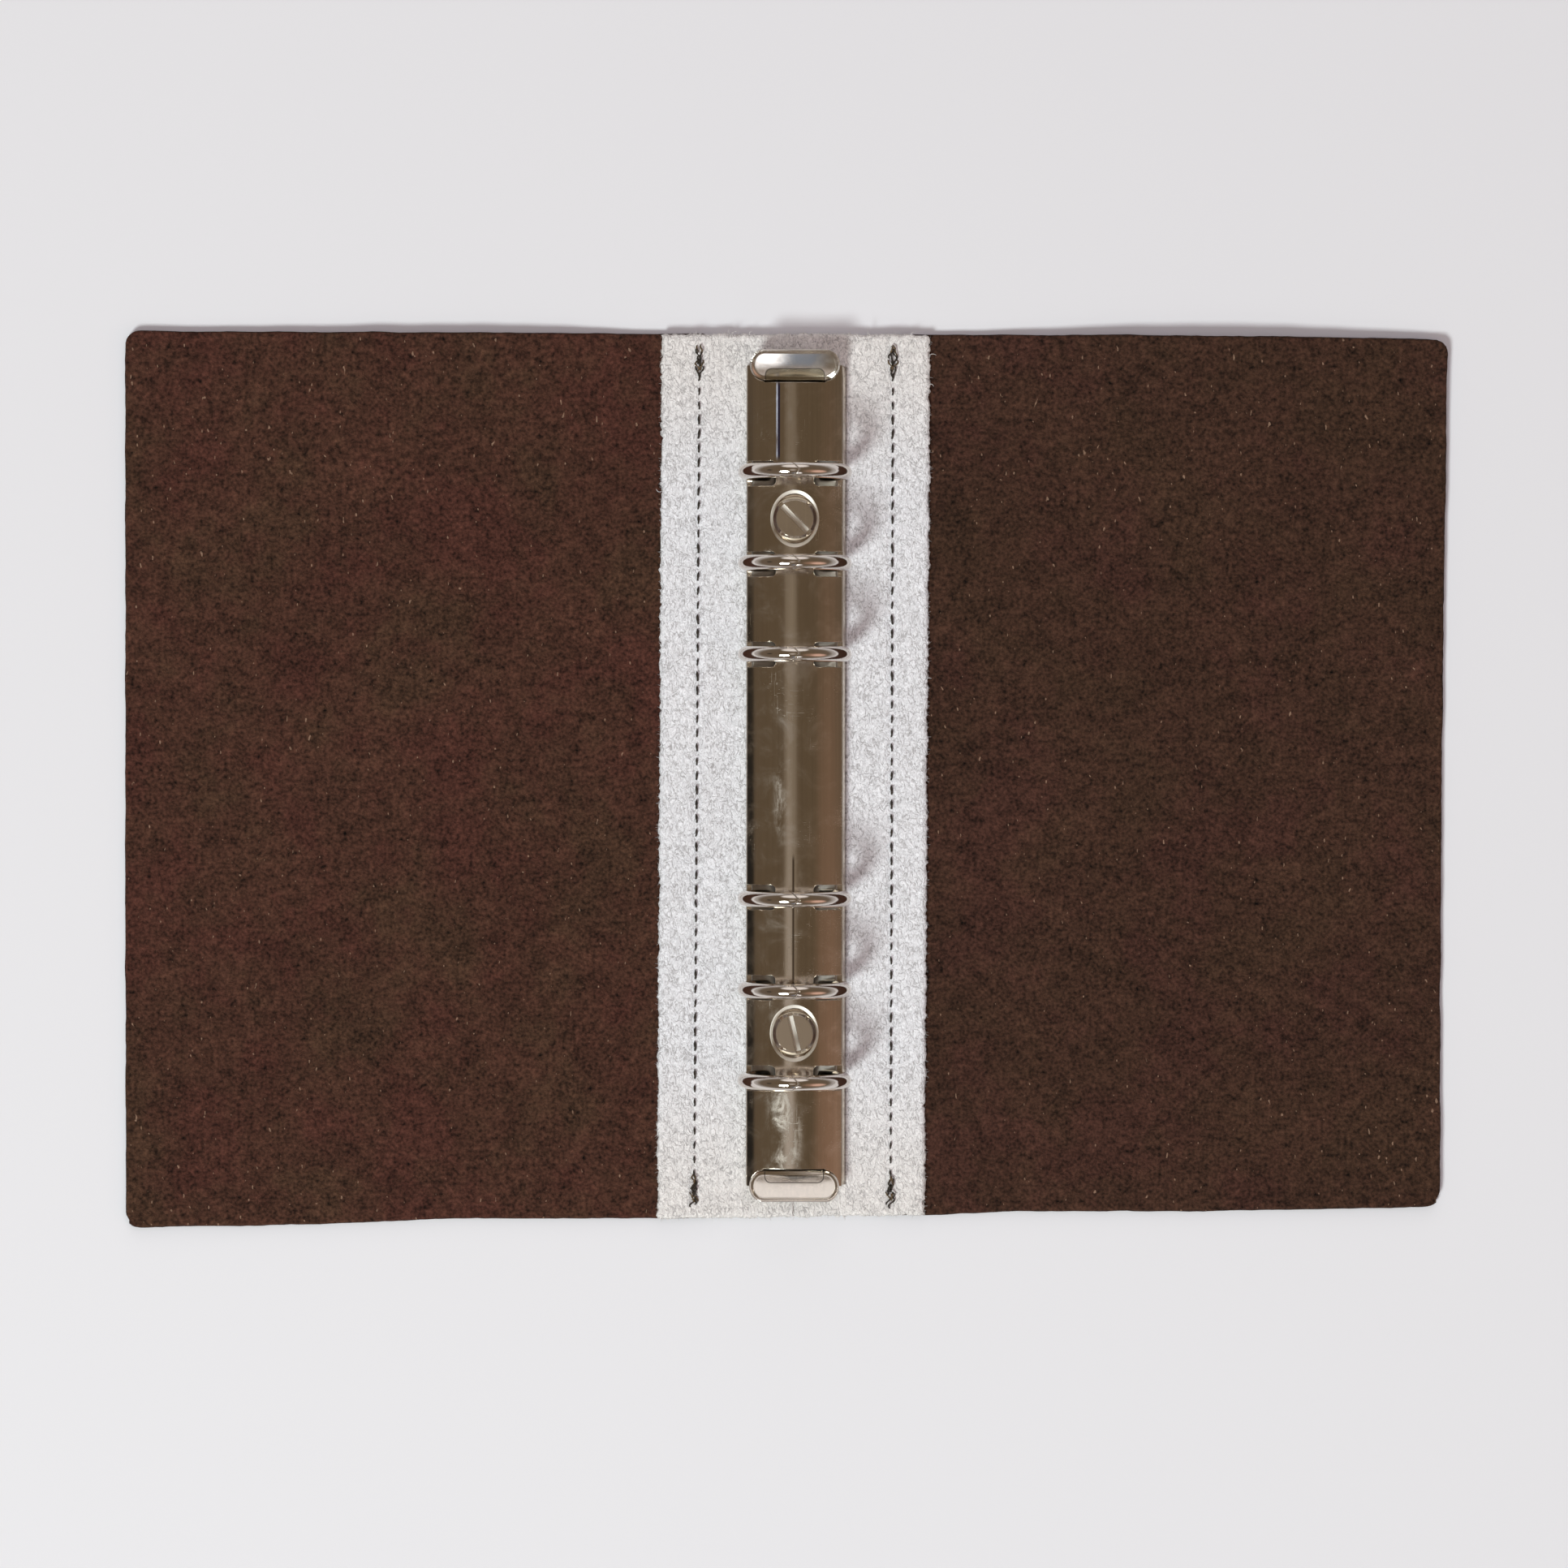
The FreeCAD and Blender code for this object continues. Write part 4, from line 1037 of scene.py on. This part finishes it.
def back_tack(side, end):
    """Two pieces: the dark threads of the bar, and the golden ones."""
    random.seed(f"{side}{end}")
    tubes = {"dark": [], "golden": []}
    for layer in range(TACK_THREADS):
        length = random.uniform(1.4, 2.6)
        y = end * TACK_Y + (layer % 5 - 2) * 1.15 + random.uniform(-0.3, 0.3)
        x = seam_x(side, y) + (layer % 2 - 0.5) * 0.66 + random.uniform(-0.2, 0.2)
        lean, bend = random.uniform(-0.6, 0.6), random.uniform(-0.4, 0.4)
        lift = SUEDE_LEVEL + 0.08 + 0.06 * layer
        for phase in PLIES:
            places = [(x + px + lean * py + bend * math.sin(3 * py), y + py, lift + pz)
                      for px, py, pz in ply_places(phase, length, 0.2, 3 * math.pi, 10)]
            tubes["golden" if layer % 5 in (1, 4) else "dark"].append(
                tube(places, [0.06] + [0.12] * 8 + [0.06], 5))
    return [join_tubes(f"tack_{side}_{end}_dark", tubes["dark"], [dark_thread]),
            join_tubes(f"tack_{side}_{end}_golden", tubes["golden"], [golden_thread])]


seams = {}
for side in ("left", "right"):
    lines = [strew(f"{side}_top_line", [seam_line(side, 3.52)], upper_stitch, dark_thread,
                   STITCH_PITCH, 0.13, (0.82, 1.12), 31),
             strew(f"{side}_under_line", [seam_line(side, 0.42)], under_stitch, dark_thread,
                   STITCH_PITCH, 0.03, (0.95, 1.0), 37)]
    seams[side] = joined(f"seam_{side}", lines + back_tack(side, 1) + back_tack(side, -1))
    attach(seams[side], f"{side}_cover")
    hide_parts(f"stitching_{side}")
    print(seams[side].name, len(seams[side].data.polygons), "faces")
bpy.data.objects.remove(upper_stitch)
bpy.data.objects.remove(under_stitch)

# %% [markdown]

# %% [markdown]
# The part stands on a plain pale floor. A soft lamp at the lower left gives the photograph's faint
# shadows, which fall up and to the right. A weak one overhead keeps the floor even, and the metal
# doesn't mirror it. The room is bright at the horizon and dark overhead, as a room is round a
# camera on its stand: the arch and the rings mirror that darkness, and only their steep sides
# catch light.


# %% Floor
REACH = 6000
floor = Finish("floor").set(base_color=paint(227, 227, 229), roughness=0.9, specular_ior_level=0.1)
corners = [(x * REACH, y * REACH, 0) for x, y in ((-1, -1), (1, -1), (1, 1), (-1, 1))]
ground = from_arrays("ground", corners, [(0, 1, 2, 3)], [floor])
print("floor:", ground.name)


# %% Lamps
def lamp(name, place, size, power, colour):
    """A round lamp that faces the middle of the part. Its place and size are in metres."""
    light = bpy.data.objects.new(name, bpy.data.lights.new(name, "AREA"))
    bpy.context.scene.collection.objects.link(light)
    light.location = place
    light.rotation_euler = (-Vector(place)).to_track_quat("-Z", "Y").to_euler()
    light.data.shape = "DISK"
    light.data.size = size
    light.data.energy = power
    light.data.color = colour
    return light


lamp("key", (-1.05, -1.52, 2.36), 0.8, 69.5, (0.915, 0.99, 0.99))
fill = lamp("fill", (0.25, 0.35, 2.6), 2.4, 17, (0.94, 0.88, 1.05))
fill.visible_glossy = False


# %% Room
class Room(Finish):
    """The world's tree, built with the same methods as a finish."""

    def __init__(self, name):
        self.world = bpy.data.worlds.new(name)
        self.world.use_nodes = True
        self.tree = self.world.node_tree
        self.shader = self.tree.nodes["Background"]
        self.place = self.node("ShaderNodeTexCoord", out="Generated")

    def glow(self, colour, towards, angle, soft, tint):
        """A round patch of light, angle degrees to each side, fading over soft degrees more."""
        toward = Vector(towards).normalized()
        facing = self.node("ShaderNodeVectorMath", {"operation": "DOT_PRODUCT"},
                           {0: self.place, 1: toward}, "Value")
        inner, outer = (math.cos(math.radians(a)) for a in (angle, angle + soft))
        return self.mix(facing.above(outer, inner), colour, (*tint, 1))


room = Room("room")
height = room.node("ShaderNodeSeparateXYZ", {}, {0: room.place}, "Z")
walls = room.mix(height.above(0.0, 0.32), (0.5, 0.48, 0.47, 1), (0.16, 0.122, 0.09, 1))
walls = room.mix(height.above(0.3, 0.9), walls, (0.146, 0.107, 0.07, 1))
GLOWS = [
    # What the arch's crown, its lower end and the screw heads mirror
    ((-0.075, -0.02, 1), 0.5, 9.5, (0.3, 0.247, 0.193)),
    ((-0.1, -0.16, 1), 1, 8, (0.66, 0.6, 0.56)),
    # What the right flank of the arch mirrors, and the dark line down its left edge
    ((0.62, -0.36, 0.71), 3, 24, (0.36, 0.22, 0.155)),
    ((0.73, -0.38, 0.58), 5, 15, (0.8, 0.52, 0.41)),
    ((-0.8, -0.05, 0.6), 4, 3, (0.02, 0.019, 0.018)),
    # What the lower lever's pad mirrors, and then the upper one's with its bright spot
    ((0, 0.8, 0.6), 18, 7, (0.97, 0.92, 0.9)),
    ((0.03, -0.81, 0.59), 6, 4, (0.22, 0.25, 0.31)),
    ((0.125, -0.81, 0.58), 3, 3, (2.4, 2.4, 2.5)),
]
for towards, angle, soft, tint in GLOWS:
    walls = room.glow(walls, towards, angle, soft, tint)
room.join(room.shader.inputs["Color"], walls)
bpy.context.scene.world = room.world
bpy.context.scene.view_settings.view_transform = "Standard"
print("lamps and room ready")
